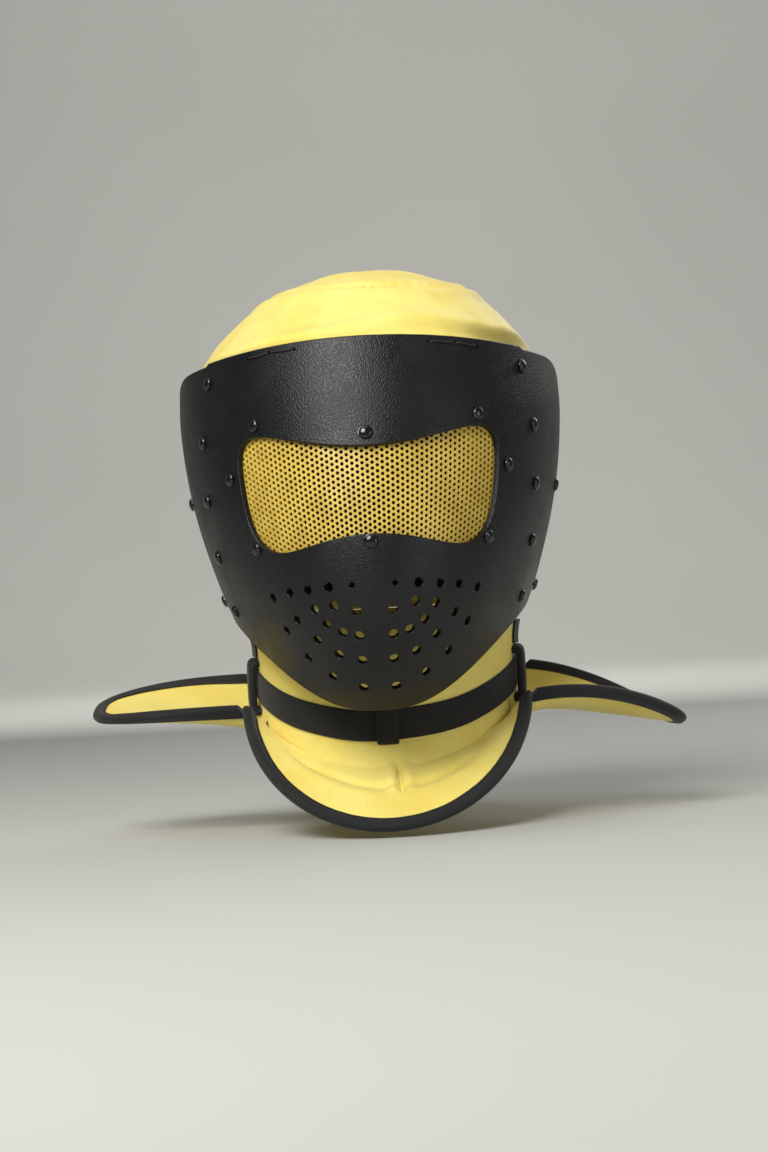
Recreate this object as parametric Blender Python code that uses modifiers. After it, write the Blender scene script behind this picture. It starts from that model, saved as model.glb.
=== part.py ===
"""Padded sparring headgear with a riveted face shield and a shoulder collar.

Metres, +Z up, the face towards -Y. The origin is the inner top of the crown,
where the wearer's head meets it. Left is -X and right is +X throughout.
"""
import math
from collections import namedtuple

import bmesh
import bpy
from mathutils import Matrix, Vector

MM = 0.001

# Clearance between pieces that touch
FIT_GAP = 0.3 * MM

# Distance under which a cut's corners are welded
WELD_DISTANCE = 0.03 * MM

# Face shield: one moulded sheet, widest at its rear edges behind the ears
SHIELD_WIDTH = 255 * MM
SHIELD_HEIGHT = 234 * MM
SHIELD_DEPTH = 200 * MM
SHIELD_SHEET = 3.5 * MM
SHIELD_DROP = 33 * MM
SHIELD_REAR = 45 * MM
TOP_FALL = 12.5 * MM
TOP_STEP = 1.5 * MM
TOP_STEP_ANGLE = math.radians(53)
TOP_CORNER_DROP = 16 * MM
TOP_CORNER_LENGTH = 80 * MM
SIDE_RISE = 60 * MM
BOTTOM_CORNER_RISE = 12 * MM
BOTTOM_CORNER_LENGTH = 40 * MM
BOTTOM_EDGE_POWER = 2.8
SHIELD_COLUMNS = 34
SHIELD_ROWS = 12

# Eye window and the perforated sheet behind it
WINDOW_WIDTH = 160.5 * MM
WINDOW_HEIGHT = 54 * MM
WINDOW_DROP = 129.5 * MM
WINDOW_TOP_SPREAD = 24 * MM
WINDOW_BOTTOM_SPREAD = 35.5 * MM
WINDOW_TOP_POWER = 4.0
WINDOW_BOTTOM_POWER = 2.5
WINDOW_COLUMNS = 28
VISOR_SHEET = 1.2 * MM
VISOR_GAP = 2 * FIT_GAP
VISOR_MARGIN = 16 * MM
VISOR_CORNER_POWER = 7.0
VISOR_COLUMNS = 22
VISOR_ROWS = 9

# Vents
VENT_DIAMETER = 6.0 * MM
SMALL_VENT_DIAMETER = 3.4 * MM
VENT_SIDES = 8
RIVET_HOLE_SIDES = 6

# Laced stitches near the shield's top edge
LACE_HOLE_DIAMETER = 2.2 * MM

# Rivets
RIVET_HEAD_DIAMETER = 9 * MM
RIVET_HEAD_HEIGHT = 2.4 * MM
RIVET_SHANK_DIAMETER = 3.4 * MM
RIVET_TAIL_DIAMETER = 7 * MM
RIVET_TAIL_HEIGHT = 1.5 * MM
RIVET_SIDES = 8

# Padded hood
HOOD_LIFT = 9 * MM
HOOD_HEIGHT = SHIELD_HEIGHT - HOOD_LIFT
HOOD_WALL = 20 * MM
HOOD_BACK = 130 * MM
HOOD_COLUMNS = 32
HOOD_RINGS = 13
CROWN_LEAN = 4 * MM
CROWN_LEAN_HEIGHT = 60 * MM
FACE_OPENING_WIDTH = 144 * MM
FACE_OPENING_TOP = 68 * MM
FACE_ARCH_HEIGHT = 64 * MM

# Neck collar, a quilted tube that stands on the shoulder flaps
COLLAR_WIDTH = 172 * MM
COLLAR_FRONT = 82 * MM
COLLAR_BACK = 84 * MM
COLLAR_MIDDLE = 20 * MM
COLLAR_WALL = 8 * MM
COLLAR_SHIFT = 2 * MM
COLLAR_TOP_FLARE = 6 * MM
FACE_SILL_DIP = 10 * MM

# Neck strap, its loops and its clasp
STRAP_WIDTH = 20 * MM
STRAP_THICKNESS = 1.6 * MM
STRAP_COLUMNS = 48
STRAP_LIFT = 22.5 * MM
STRAP_DROP = SHIELD_DROP + SHIELD_HEIGHT - STRAP_LIFT
STRAP_FALL = 34 * MM
STRAP_RISE = 17 * MM
STRAP_MARGIN = 11 * MM
SIDE_LOOP_TURN = math.radians(76)
SIDE_LOOP_WIDTH = 11 * MM
SIDE_LOOP_HEIGHT = 35 * MM
SIDE_LOOP_REACH = 8.5 * MM
FRONT_LOOP_WIDTH = 14 * MM
FRONT_LOOP_HEIGHT = 24 * MM
FRONT_LOOP_REACH = 4.5 * MM
CLASP_WIDTH = 34 * MM
CLASP_HEIGHT = 27 * MM
CLASP_REACH = 7 * MM
TAB_WIDTH = 18 * MM
TAB_THICKNESS = 1.6 * MM
TAB_TURN = math.radians(80)

# Shoulder flaps and their binding
FLAP_THICKNESS = 6.3 * MM
BINDING_WIDTH = 10 * MM
BINDING_SHARE = 0.6
BINDING_THICKNESS = 7.5 * MM
CORNER_REACH = 16 * MM
CORNER_FALL = 9.1 * MM
CORNER_DROP = STRAP_DROP + CORNER_FALL
CORNER_TILT = 0.22
FRONT_CORNER_TURN = math.radians(67)
REAR_CORNER_TURN = math.radians(115)
BIB_REACH = 97 * MM
BIB_FALL = 79 * MM
BACK_FLAP_REACH = 95 * MM
BACK_FLAP_FALL = 60 * MM
SIDE_FLAP_REACH = 104 * MM
LOBE_SPAN = 0.955
LOBE_COLUMNS = 21
RIGHT_FLAP_DROOP = 36 * MM
RIGHT_FLAP_TWIST = 14 * MM
LEFT_FLAP_DROOP = 10 * MM

# Each row is a height of the shield: its share of the height, from the top
# down, and its half width and depth as shares of the sheet's greatest ones
ShieldSection = namedtuple("ShieldSection", "down width depth")
SHIELD_SECTIONS = (
    ShieldSection(0.000, 0.988, 0.850),
    ShieldSection(0.080, 0.995, 0.880),
    ShieldSection(0.200, 1.000, 0.923),
    ShieldSection(0.360, 0.971, 0.970),
    ShieldSection(0.500, 0.918, 0.997),
    ShieldSection(0.640, 0.842, 1.000),
    ShieldSection(0.730, 0.780, 0.985),
    ShieldSection(0.790, 0.733, 0.960),
    ShieldSection(0.850, 0.683, 0.920),
    ShieldSection(0.930, 0.615, 0.855),
    ShieldSection(1.000, 0.549, 0.775),
)

# Each row is a ring of the hood from the crown's peak to its lower edge: its
# share of the way, its drop as a share of the hood's height, its half width
# and front as shares of the room inside the shield, its back as a share of
# the hood's back, and its middle as a share of the shield's rear
HoodSection = namedtuple("HoodSection", "along drop width front back middle")
HOOD_SECTIONS = (
    HoodSection(0.000, 0.000, 0.000, -0.126, 0.115, 0.33),
    HoodSection(0.086, 0.011, 0.216, 0.100, 0.346, 0.36),
    HoodSection(0.169, 0.044, 0.415, 0.335, 0.585, 0.44),
    HoodSection(0.229, 0.073, 0.570, 0.500, 0.740, 0.53),
    HoodSection(0.285, 0.124, 0.690, 0.650, 0.830, 0.62),
    HoodSection(0.342, 0.178, 0.794, 0.810, 0.885, 0.71),
    HoodSection(0.401, 0.236, 0.884, 0.980, 0.923, 0.84),
    HoodSection(0.461, 0.302, 0.946, 1.000, 0.954, 0.93),
    HoodSection(0.526, 0.382, 0.994, 0.985, 0.985, 1.00),
    HoodSection(0.638, 0.533, 1.000, 0.930, 1.000, 1.00),
    HoodSection(0.808, 0.756, 1.000, 0.860, 0.980, 1.00),
    HoodSection(0.930, 0.911, 1.000, 0.800, 0.920, 1.00),
    HoodSection(1.000, 1.000, 1.000, 0.760, 0.846, 1.00),
)

# Vents of one half: share of a quarter turn round from the front, and share of
# the shield's height down from the top
Vent = namedtuple("Vent", "round down small")
VENTS = (
    Vent(0.081, 0.660, True),
    Vent(0.170, 0.662, False),
    Vent(0.256, 0.667, False),
    Vent(0.335, 0.671, False),
    Vent(0.423, 0.683, False),
    Vent(0.073, 0.727, False),
    Vent(0.160, 0.711, False),
    Vent(0.244, 0.718, False),
    Vent(0.333, 0.745, False),
    Vent(0.404, 0.772, False),
    Vent(0.204, 0.759, False),
    Vent(0.141, 0.783, False),
    Vent(0.073, 0.794, False),
    Vent(0.263, 0.800, False),
    Vent(0.176, 0.841, False),
    Vent(0.335, 0.847, False),
    Vent(0.073, 0.859, False),
    Vent(0.233, 0.900, False),
    Vent(0.083, 0.933, False),
)

# Rivets round the window: shares of its half width and half height, from its
# middle; those beside the middle stand on both sides
WindowRivet = namedtuple("WindowRivet", "across up")
WINDOW_RIVETS = (
    WindowRivet(0.00, 1.30),
    WindowRivet(0.81, 1.65),
    WindowRivet(1.09, 0.46),
    WindowRivet(0.956, -1.20),
    WindowRivet(0.00, -1.18),
)

# Rivets of one side: share of the way round from the window's side to the
# shield's rear edge, and share of the shield's height down from the top
SideRivet = namedtuple("SideRivet", "beyond down")
SIDE_RIVETS = (
    SideRivet(0.224, 0.090),
    SideRivet(0.317, 0.250),
    SideRivet(0.380, 0.410),
    SideRivet(0.457, 0.565),
    SideRivet(0.529, 0.717),
    SideRivet(0.815, 0.409),
    SideRivet(0.889, 0.687),
)

# Lace holes of one side: share of a quarter turn from the front, and share of
# the shield's height down from the top
LaceHole = namedtuple("LaceHole", "round down")
LACE_HOLES = (
    LaceHole(0.388, 0.041),
    LaceHole(0.306, 0.030),
    LaceHole(0.216, 0.026),
)


def smooth_row(rows, at):
    """Reads a table between its rows, smoothly, by its first column."""
    keys = [row[0] for row in rows]
    at = min(max(at, keys[0]), keys[-1])
    low = max(index for index in range(len(rows) - 1) if keys[index] <= at)
    span = keys[low + 1] - keys[low]
    part = (at - keys[low]) / span

    def slope(index, column):
        before = max(index - 1, 0)
        after = min(index + 1, len(rows) - 1)
        return (rows[after][column] - rows[before][column]) / (keys[after] - keys[before])

    values = [at]
    for column in range(1, len(rows[0])):
        start, end = rows[low][column], rows[low + 1][column]
        leave, arrive = slope(low, column) * span, slope(low + 1, column) * span
        values.append(
            start * (2 * part**3 - 3 * part**2 + 1)
            + leave * (part**3 - 2 * part**2 + part)
            + end * (3 * part**2 - 2 * part**3)
            + arrive * (part**3 - part**2)
        )
    return type(rows[0])(*values)


def spaced(start, end, count):
    """Evenly spaced values from start to end, both included."""
    return [start + (end - start) * index / (count - 1) for index in range(count)]


def signed_power(value, power):
    """Raises a value's size to a power and keeps its sign."""
    return math.copysign(abs(value) ** power, value)


def shield_size(height):
    """The shield's half width and depth at a height."""
    row = smooth_row(SHIELD_SECTIONS, (-SHIELD_DROP - height) / SHIELD_HEIGHT)
    return row.width * SHIELD_WIDTH / 2, row.depth * SHIELD_DEPTH


def shield_plan(turn, height, inset=0.0):
    """A point of the shield's plan, with its half width and depth inset."""
    half_width, depth = shield_size(height)
    across = (half_width - inset) * math.sin(turn)
    return Vector((across, SHIELD_REAR - (depth - inset) * math.cos(turn), height))


def shield_point(turn, height, out=0.0):
    """A point of the shield's outer face, moved out along the normal there."""
    return shield_plan(turn, height) + shield_normal(turn, height) * out


def shield_normal(turn, height):
    """The outward normal of the shield's outer face."""
    step = 0.5 * MM
    across = shield_plan(turn + 0.01, height) - shield_plan(turn - 0.01, height)
    down = shield_plan(turn, height - step) - shield_plan(turn, height + step)
    return down.cross(across).normalized()


def rear_distance(turn):
    """How far ahead of the shield's rear edge a turn lies."""
    return max(math.pi / 2 - abs(turn), 0.0) * SHIELD_DEPTH


def shield_top(turn):
    """Height of the shield's top edge, with its step and its rear corner."""
    height = -SHIELD_DROP - TOP_FALL * math.sin(turn) ** 2
    if abs(turn) > TOP_STEP_ANGLE:
        height -= TOP_STEP
    corner = max(1 - rear_distance(turn) / TOP_CORNER_LENGTH, 0.0)
    return height - TOP_CORNER_DROP * corner**2


def shield_bottom(turn):
    """Height of the shield's bottom edge, which rises from the chin."""
    rise = SIDE_RISE * abs(math.sin(turn)) ** BOTTOM_EDGE_POWER
    corner = max(1 - rear_distance(turn) / BOTTOM_CORNER_LENGTH, 0.0)
    return -SHIELD_DROP - SHIELD_HEIGHT + rise + BOTTOM_CORNER_RISE * corner**2


def window_turn():
    """Turn from the front to the side of the eye window."""
    half_width, _ = shield_size(-WINDOW_DROP)
    return math.asin(WINDOW_WIDTH / 2 / half_width)


def window_edges(share):
    """The window's lower and upper edge heights at a share of its half width."""
    share = min(abs(share), 1.0)
    rise = WINDOW_HEIGHT / 2 + WINDOW_TOP_SPREAD * share**2
    fall = WINDOW_HEIGHT / 2 + WINDOW_BOTTOM_SPREAD * share**2
    rise *= (1 - share**WINDOW_TOP_POWER) ** (1 / WINDOW_TOP_POWER)
    fall *= (1 - share**WINDOW_BOTTOM_POWER) ** (1 / WINDOW_BOTTOM_POWER)
    return -WINDOW_DROP - fall, -WINDOW_DROP + rise


def hood_room(height):
    """Half width and front reach that the shield leaves for the hood."""
    half_width, depth = shield_size(height)
    inset = SHIELD_SHEET + RIVET_TAIL_HEIGHT + 2 * FIT_GAP
    return half_width - inset, depth - inset - SHIELD_REAR


def hood_point(turn, along):
    """A point of the hood's outer face: a turn round, a share of the way down."""
    row = smooth_row(HOOD_SECTIONS, along)
    height = HOOD_WALL - row.drop * HOOD_HEIGHT
    half_width, reach = hood_room(height)
    middle = row.middle * SHIELD_REAR
    if along == 0:
        depth = 0.0
    elif math.cos(turn) > 0:
        depth = middle + row.front * reach
    else:
        depth = row.back * HOOD_BACK - middle
    lean = CROWN_LEAN * max(1 - (HOOD_WALL - height) / CROWN_LEAN_HEIGHT, 0.0)
    across = row.width * half_width * math.sin(turn) + lean
    return Vector((across, middle - depth * math.cos(turn), height))


def collar_plan(turn, out=0.0):
    """A plan point of the neck wall, moved out along its normal."""
    half_width = COLLAR_WIDTH / 2
    depth = COLLAR_FRONT if math.cos(turn) > 0 else COLLAR_BACK
    normal = Vector((depth * math.sin(turn), -half_width * math.cos(turn), 0)).normalized()
    across = COLLAR_SHIFT + half_width * math.sin(turn)
    base = Vector((across, COLLAR_MIDDLE - depth * math.cos(turn), 0))
    return base + normal * out


def strap_height(turn):
    """Height of the strap's middle line, which falls to the front and rises behind."""
    ahead = math.cos(turn)
    fall = (STRAP_FALL + STRAP_RISE) / 2 * ahead + (STRAP_FALL - STRAP_RISE) / 2 * ahead**2
    return -STRAP_DROP - fall


def collar_top(turn):
    """Height of the neck wall's top edge, which dips below the face."""
    return HOOD_WALL - HOOD_HEIGHT - FIT_GAP - FACE_SILL_DIP * max(math.cos(turn), 0.0) ** 2


def collar_bottom(turn):
    """Height of the neck wall's bottom edge."""
    return strap_height(turn) - STRAP_WIDTH / 2 - STRAP_MARGIN


def collar_point(turn, corner):
    """A corner of the neck wall's section: four down its outer face, four up inside."""
    zone_top = strap_height(turn) + STRAP_WIDTH / 2 + STRAP_MARGIN
    top = collar_top(turn)
    heights = (top, (top + zone_top) / 2, zone_top, collar_bottom(turn))
    flares = (COLLAR_TOP_FLARE, COLLAR_TOP_FLARE / 3, 0.0, 0.0)
    row = min(corner, 7 - corner)
    point = collar_plan(turn, flares[row] - (COLLAR_WALL if corner > 3 else 0.0))
    point.z = heights[row]
    return point


# A lobe of the collar: the turns of its two corners, its tip's offset from the
# middle between them, the power of its outline, and how its tip droops and
# twists
Lobe = namedtuple("Lobe", "start end tip power droop twist")


def lobe_corner(turn):
    """A corner where the outlines of two lobes meet."""
    corner = collar_plan(turn, CORNER_REACH)
    corner.z = -CORNER_DROP + CORNER_TILT * (corner.y - COLLAR_MIDDLE)
    return corner


def lobe_root(lobe, across):
    """A point of a lobe's root, just below the neck wall's bottom edge."""
    turn = lobe.start + (lobe.end - lobe.start) * (across + 1) / 2
    root = collar_plan(turn, -COLLAR_WALL / 2)
    root.z = collar_bottom(turn) - BINDING_THICKNESS / 2 - FIT_GAP
    return root


def lobe_outline(lobe, across):
    """A point of a lobe's outer edge, from one corner round the tip."""
    start, end = lobe_corner(lobe.start), lobe_corner(lobe.end)
    angle = across * math.pi / 2
    side = signed_power(math.sin(angle), 2 / lobe.power)
    reach = abs(math.cos(angle)) ** (2 / lobe.power)
    point = (start + end) / 2 + (end - start) / 2 * side + lobe.tip * reach
    point.z -= lobe.droop * reach**2 + lobe.twist * side * reach
    return point


def lobe_section(lobe, across, bound):
    """The four corners of a lobe's section, of its panel or of its binding.

    Both share the normal at one place across, so that they meet face to face.
    """
    root, edge = lobe_root(lobe, across), lobe_outline(lobe, across)
    rise = (edge.z - root.z) / (edge.xy - root.xy).length
    root.z -= max(rise, 0.0) * COLLAR_WALL
    step = 0.005
    along = lobe_outline(lobe, across + step) - lobe_outline(lobe, across - step)
    inward = root - edge
    length = inward.length
    normal = along.cross(inward)
    slant = normal.length / along.length / length
    band = min(BINDING_WIDTH / slant, BINDING_SHARE * length)
    if bound:
        near, far, thickness = band, 0.0, BINDING_THICKNESS
    else:
        near, far, thickness = length, band + FIT_GAP / slant, FLAP_THICKNESS
    offset = normal.normalized() * thickness / 2
    near = edge.lerp(root, near / length)
    far = edge.lerp(root, far / length)
    return near + offset, far + offset, far - offset, near - offset


def new_object(name, mesh, collection, material=None):
    """Puts a mesh in a collection as an object with one material."""
    thing = bpy.data.objects.new(name, mesh)
    collection.objects.link(thing)
    if material:
        mesh.materials.append(material)
    return thing


def grid_mesh(name, columns, rows, place, wrap_columns=False, wrap_rows=False):
    """A sheet of quads whose corners lie at place(column, row)."""
    builder = bmesh.new()
    corners = [[builder.verts.new(place(column, row)) for row in rows] for column in columns]
    last_column = len(columns) if wrap_columns else len(columns) - 1
    last_row = len(rows) if wrap_rows else len(rows) - 1
    for column in range(last_column):
        here, beside = corners[column], corners[(column + 1) % len(columns)]
        for row in range(last_row):
            below = (row + 1) % len(rows)
            builder.faces.new((here[row], here[below], beside[below], beside[row]))
    if wrap_rows and not wrap_columns:
        builder.faces.new(corners[0][::-1])
        builder.faces.new(corners[-1])
        bmesh.ops.triangulate(builder, faces=builder.faces, quad_method="SHORT_EDGE")
    bmesh.ops.remove_doubles(builder, verts=builder.verts, dist=0.01 * MM)
    bmesh.ops.dissolve_degenerate(builder, edges=builder.edges, dist=0.001 * MM)
    mesh = bpy.data.meshes.new(name)
    builder.to_mesh(mesh)
    builder.free()
    mesh.shade_smooth()
    mesh.set_sharp_from_angle(angle=math.radians(40))
    return mesh


def add_wall(thing, thickness, offset):
    """Gives a sheet its thickness: offset -1 grows inwards, 0 both ways."""
    wall = thing.modifiers.new("wall", "SOLIDIFY")
    wall.thickness = thickness
    wall.offset = offset


def add_cuts(thing, *cutters):
    """Cuts objects out of another, then welds the cuts' smallest slivers."""
    for cutter in cutters:
        cut = thing.modifiers.new("cut", "BOOLEAN")
        cut.operation = "DIFFERENCE"
        cut.solver = "EXACT"
        cut.object = cutter
    weld = thing.modifiers.new("weld", "WELD")
    weld.merge_threshold = WELD_DISTANCE


def as_cutter(thing):
    """Marks an object as a cutter."""
    thing.hide_render = True
    thing.display_type = "WIRE"
    return thing


def facing(point, normal):
    """A matrix at a point, with its Z axis along a normal."""
    return Matrix.Translation(point) @ normal.to_track_quat("Z", "Y").to_matrix().to_4x4()


def hole_mesh(name, holes, depth):
    """Round cutters in one mesh; each hole is (point, normal, diameter, sides)."""
    builder = bmesh.new()
    for point, normal, diameter, sides in holes:
        bmesh.ops.create_cone(
            builder, cap_ends=True, segments=sides, depth=depth,
            radius1=diameter / 2, radius2=diameter / 2, matrix=facing(point, normal),
        )
    mesh = bpy.data.meshes.new(name)
    builder.to_mesh(mesh)
    builder.free()
    return mesh


def prism_mesh(name, outline, sweep):
    """A flat outline swept along a vector into a closed solid."""
    builder = bmesh.new()
    face = builder.faces.new([builder.verts.new(point) for point in outline])
    swept = bmesh.ops.extrude_face_region(builder, geom=[face])
    moved = [item for item in swept["geom"] if isinstance(item, bmesh.types.BMVert)]
    bmesh.ops.translate(builder, vec=sweep, verts=moved)
    bmesh.ops.recalc_face_normals(builder, faces=builder.faces)
    mesh = bpy.data.meshes.new(name)
    builder.to_mesh(mesh)
    builder.free()
    return mesh


def turned_mesh(name, profile, sides):
    """A closed turned body from a profile of (radius, height), top to bottom."""
    builder = bmesh.new()
    corners = [builder.verts.new((radius, 0, height)) for radius, height in profile]
    for above, below in zip(corners, corners[1:]):
        builder.edges.new((above, below))
    bmesh.ops.spin(
        builder, geom=builder.verts[:] + builder.edges[:], cent=(0, 0, 0), axis=(0, 0, 1),
        angle=2 * math.pi, steps=sides, use_merge=True,
    )
    bmesh.ops.remove_doubles(builder, verts=builder.verts, dist=0.01 * MM)
    bmesh.ops.recalc_face_normals(builder, faces=builder.faces)
    mesh = bpy.data.meshes.new(name)
    builder.to_mesh(mesh)
    builder.free()
    mesh.shade_smooth()
    mesh.set_sharp_from_angle(angle=math.radians(40))
    return mesh


def finish(name, color, roughness, metallic=0.0):
    """A Principled material."""
    material = bpy.data.materials.new(name)
    material.use_nodes = True
    shader = material.node_tree.nodes["Principled BSDF"]
    shader.inputs["Base Color"].default_value = (*color, 1.0)
    shader.inputs["Roughness"].default_value = roughness
    shader.inputs["Metallic"].default_value = metallic
    return material


def both_sides(turn):
    """A turn and its mirror image, or the front alone."""
    return (0.0,) if turn == 0 else (-turn, turn)


def shield_height(down):
    """Height of a share of the shield's height, from the top down."""
    return -SHIELD_DROP - down * SHIELD_HEIGHT


def rivet_hole_diameter():
    """Diameter of a rivet's hole, which clears the shank even between its corners."""
    return (RIVET_SHANK_DIAMETER + 2 * FIT_GAP) / math.cos(math.pi / RIVET_HOLE_SIDES)


def window_rivet_places():
    """Turn and height of each rivet round the window."""
    return [
        (turn, -WINDOW_DROP + rivet.up * WINDOW_HEIGHT / 2)
        for rivet in WINDOW_RIVETS
        for turn in both_sides(rivet.across * window_turn())
    ]


def side_rivet_places(side):
    """Turn and height of each rivet of one side, -1 left or 1 right."""
    start = window_turn()
    return [
        (side * (start + rivet.beyond * (math.pi / 2 - start)), shield_height(rivet.down))
        for rivet in SIDE_RIVETS
    ]


def window_point(share, rise, grow=0.0):
    """A point of the window's area: a share across, a share from low to high."""
    low, high = window_edges(share)
    height = low + (high - low) * rise
    return shield_point(share * window_turn(), height, grow)


def build_window_cutter(collection):
    """The eye window's cutter, which follows the sheet."""
    shares = [math.sin(angle) for angle in spaced(-math.pi / 2, math.pi / 2, WINDOW_COLUMNS)]
    mesh = grid_mesh("window_cutter", shares, spaced(1, 0, 5), window_point)
    cutter = new_object("window_cutter", mesh, collection)
    add_wall(cutter, 6 * SHIELD_SHEET, 0.0)
    return as_cutter(cutter)


def build_hole_cutter(collection):
    """Every round hole of the shield: vents, rivet holes and lace holes."""
    holes = []
    for vent in VENTS:
        for turn in both_sides(vent.round * math.pi / 2):
            diameter = SMALL_VENT_DIAMETER if vent.small else VENT_DIAMETER
            holes.append((turn, shield_height(vent.down), diameter, VENT_SIDES))
    places = window_rivet_places() + side_rivet_places(-1) + side_rivet_places(1)
    for turn, height in places:
        holes.append((turn, height, rivet_hole_diameter(), RIVET_HOLE_SIDES))
    for lace in LACE_HOLES:
        for turn in both_sides(lace.round * math.pi / 2):
            place = (turn, shield_height(lace.down))
            holes.append((*place, LACE_HOLE_DIAMETER, RIVET_HOLE_SIDES))
    drilled = [
        (shield_point(turn, height, -SHIELD_SHEET / 2), shield_normal(turn, height), *size)
        for turn, height, *size in holes
    ]
    mesh = hole_mesh("shield_holes", drilled, 3 * SHIELD_SHEET)
    return as_cutter(new_object("shield_holes", mesh, collection))


def build_shield(parts, cutters, material):
    """The moulded face shield, with its window, vents and other holes."""
    edge = math.radians(0.3)
    turns = spaced(-math.pi / 2, math.pi / 2, SHIELD_COLUMNS)
    turns += [side * (TOP_STEP_ANGLE + shift) for side in (-1, 1) for shift in (-edge, edge)]

    def place(turn, share):
        top, bottom = shield_top(turn), shield_bottom(turn)
        return shield_point(turn, top + (bottom - top) * share)

    mesh = grid_mesh("face_shield", sorted(turns), spaced(0, 1, SHIELD_ROWS), place)
    shield = new_object("face_shield", mesh, parts, material)
    add_wall(shield, SHIELD_SHEET, -1.0)
    add_cuts(shield, build_window_cutter(cutters), build_hole_cutter(cutters))


def build_visor(parts, cutters, material):
    """The perforated sheet behind the window, plain here."""
    shares = [math.sin(angle) for angle in spaced(-math.pi / 2, math.pi / 2, VISOR_COLUMNS)]
    half_width, _ = shield_size(-WINDOW_DROP)
    reach = window_turn() + 1.35 * VISOR_MARGIN / half_width
    top = max(window_edges(share)[1] for share in spaced(0, 1, 21)) + VISOR_MARGIN
    bottom = min(window_edges(share)[0] for share in spaced(0, 1, 21)) - VISOR_MARGIN / 2
    middle, half_height = (top + bottom) / 2, (top - bottom) / 2
    depth = -SHIELD_SHEET - VISOR_GAP

    def place(share, rise):
        room = (1 - min(abs(share), 1.0) ** VISOR_CORNER_POWER) ** (1 / VISOR_CORNER_POWER)
        return shield_point(share * reach, middle + rise * half_height * room, depth)

    mesh = grid_mesh("visor_sheet", shares, spaced(1, -1, VISOR_ROWS), place)
    visor = new_object("visor_sheet", mesh, parts, material)
    add_wall(visor, VISOR_SHEET, -1.0)
    size = (rivet_hole_diameter(), RIVET_HOLE_SIDES)
    drilled = [
        (shield_point(turn, height, depth), shield_normal(turn, height), *size)
        for turn, height in window_rivet_places()
    ]
    holes = new_object("visor_holes", hole_mesh("visor_holes", drilled, 3 * SHIELD_SHEET), cutters)
    add_cuts(visor, as_cutter(holes))


def rivet_mesh(name, grip):
    """A domed rivet whose head sits on the sheet, with its tail past the grip."""
    head, shank, tail = (
        diameter / 2
        for diameter in (RIVET_HEAD_DIAMETER, RIVET_SHANK_DIAMETER, RIVET_TAIL_DIAMETER)
    )
    dome = [
        (head * math.sin(angle), FIT_GAP + RIVET_HEAD_HEIGHT * math.cos(angle))
        for angle in spaced(0, math.pi / 2, 3)
    ]
    stem = [(shank, FIT_GAP), (shank, -grip), (tail, -grip), (tail, -grip - RIVET_TAIL_HEIGHT)]
    return turned_mesh(name, dome + stem + [(0, -grip - RIVET_TAIL_HEIGHT)], RIVET_SIDES)


def build_rivets(parts, material):
    """Every rivet: eight round the window and seven on each side."""
    side_mesh = rivet_mesh("side_rivet", SHIELD_SHEET + FIT_GAP)
    window_mesh = rivet_mesh("window_rivet", SHIELD_SHEET + VISOR_GAP + VISOR_SHEET + 2 * FIT_GAP)
    rows = (
        ("window_rivet", window_mesh, window_rivet_places()),
        ("side_rivet_left", side_mesh, side_rivet_places(-1)),
        ("side_rivet_right", side_mesh, side_rivet_places(1)),
    )
    for mesh in (side_mesh, window_mesh):
        mesh.materials.append(material)
    for name, mesh, places in rows:
        for number, (turn, height) in enumerate(places, 1):
            rivet = new_object(f"{name}_{number}", mesh, parts)
            rivet.matrix_world = facing(shield_point(turn, height), shield_normal(turn, height))


def build_hood(parts, cutters, material):
    """The padded hood, open at the face and at the neck."""
    half_step = math.pi / HOOD_COLUMNS
    turns = spaced(half_step, 2 * math.pi - half_step, HOOD_COLUMNS)
    rings = spaced(0, 1, HOOD_RINGS)
    mesh = grid_mesh("hood", turns, rings, hood_point, wrap_columns=True)
    hood = new_object("hood", mesh, parts, material)
    add_wall(hood, HOOD_WALL, -1.0)
    half = FACE_OPENING_WIDTH / 2
    spring = -FACE_OPENING_TOP - FACE_ARCH_HEIGHT
    front = -SHIELD_DEPTH
    arch = [
        Vector((half * math.cos(angle), front, spring + FACE_ARCH_HEIGHT * math.sin(angle)))
        for angle in spaced(0, math.pi, 12)
    ]
    below = -SHIELD_DROP - SHIELD_HEIGHT
    outline = [Vector((half, front, below))] + arch + [Vector((-half, front, below))]
    mesh = prism_mesh("face_opening", outline, Vector((0, SHIELD_DEPTH, 0)))
    add_cuts(hood, as_cutter(new_object("face_opening", mesh, cutters)))


def build_collar(parts, material):
    """The quilted neck wall."""
    turns = spaced(0, 2 * math.pi, 33)[:-1]
    mesh = grid_mesh("neck_collar", turns, range(8), collar_point, True, True)
    new_object("neck_collar", mesh, parts, material)


def collar_lobes():
    """The front bib, the back flap and the two shoulder flaps."""
    full = 2 * math.pi
    front, rear = FRONT_CORNER_TURN, REAR_CORNER_TURN
    sideways = Vector((SIDE_FLAP_REACH, 0, 0))
    return {
        "front_bib": Lobe(-front, front, Vector((0, -BIB_REACH, -BIB_FALL)), 2.0, 0.0, 0.0),
        "shoulder_flap_right": Lobe(
            front, rear, sideways, 3.0, RIGHT_FLAP_DROOP, RIGHT_FLAP_TWIST
        ),
        "back_flap": Lobe(
            rear, full - rear, Vector((0, BACK_FLAP_REACH, -BACK_FLAP_FALL)), 2.2, 0.0, 0.0
        ),
        "shoulder_flap_left": Lobe(
            full - rear, full - front, -sideways, 3.0, LEFT_FLAP_DROOP, 0.0
        ),
    }


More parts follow.
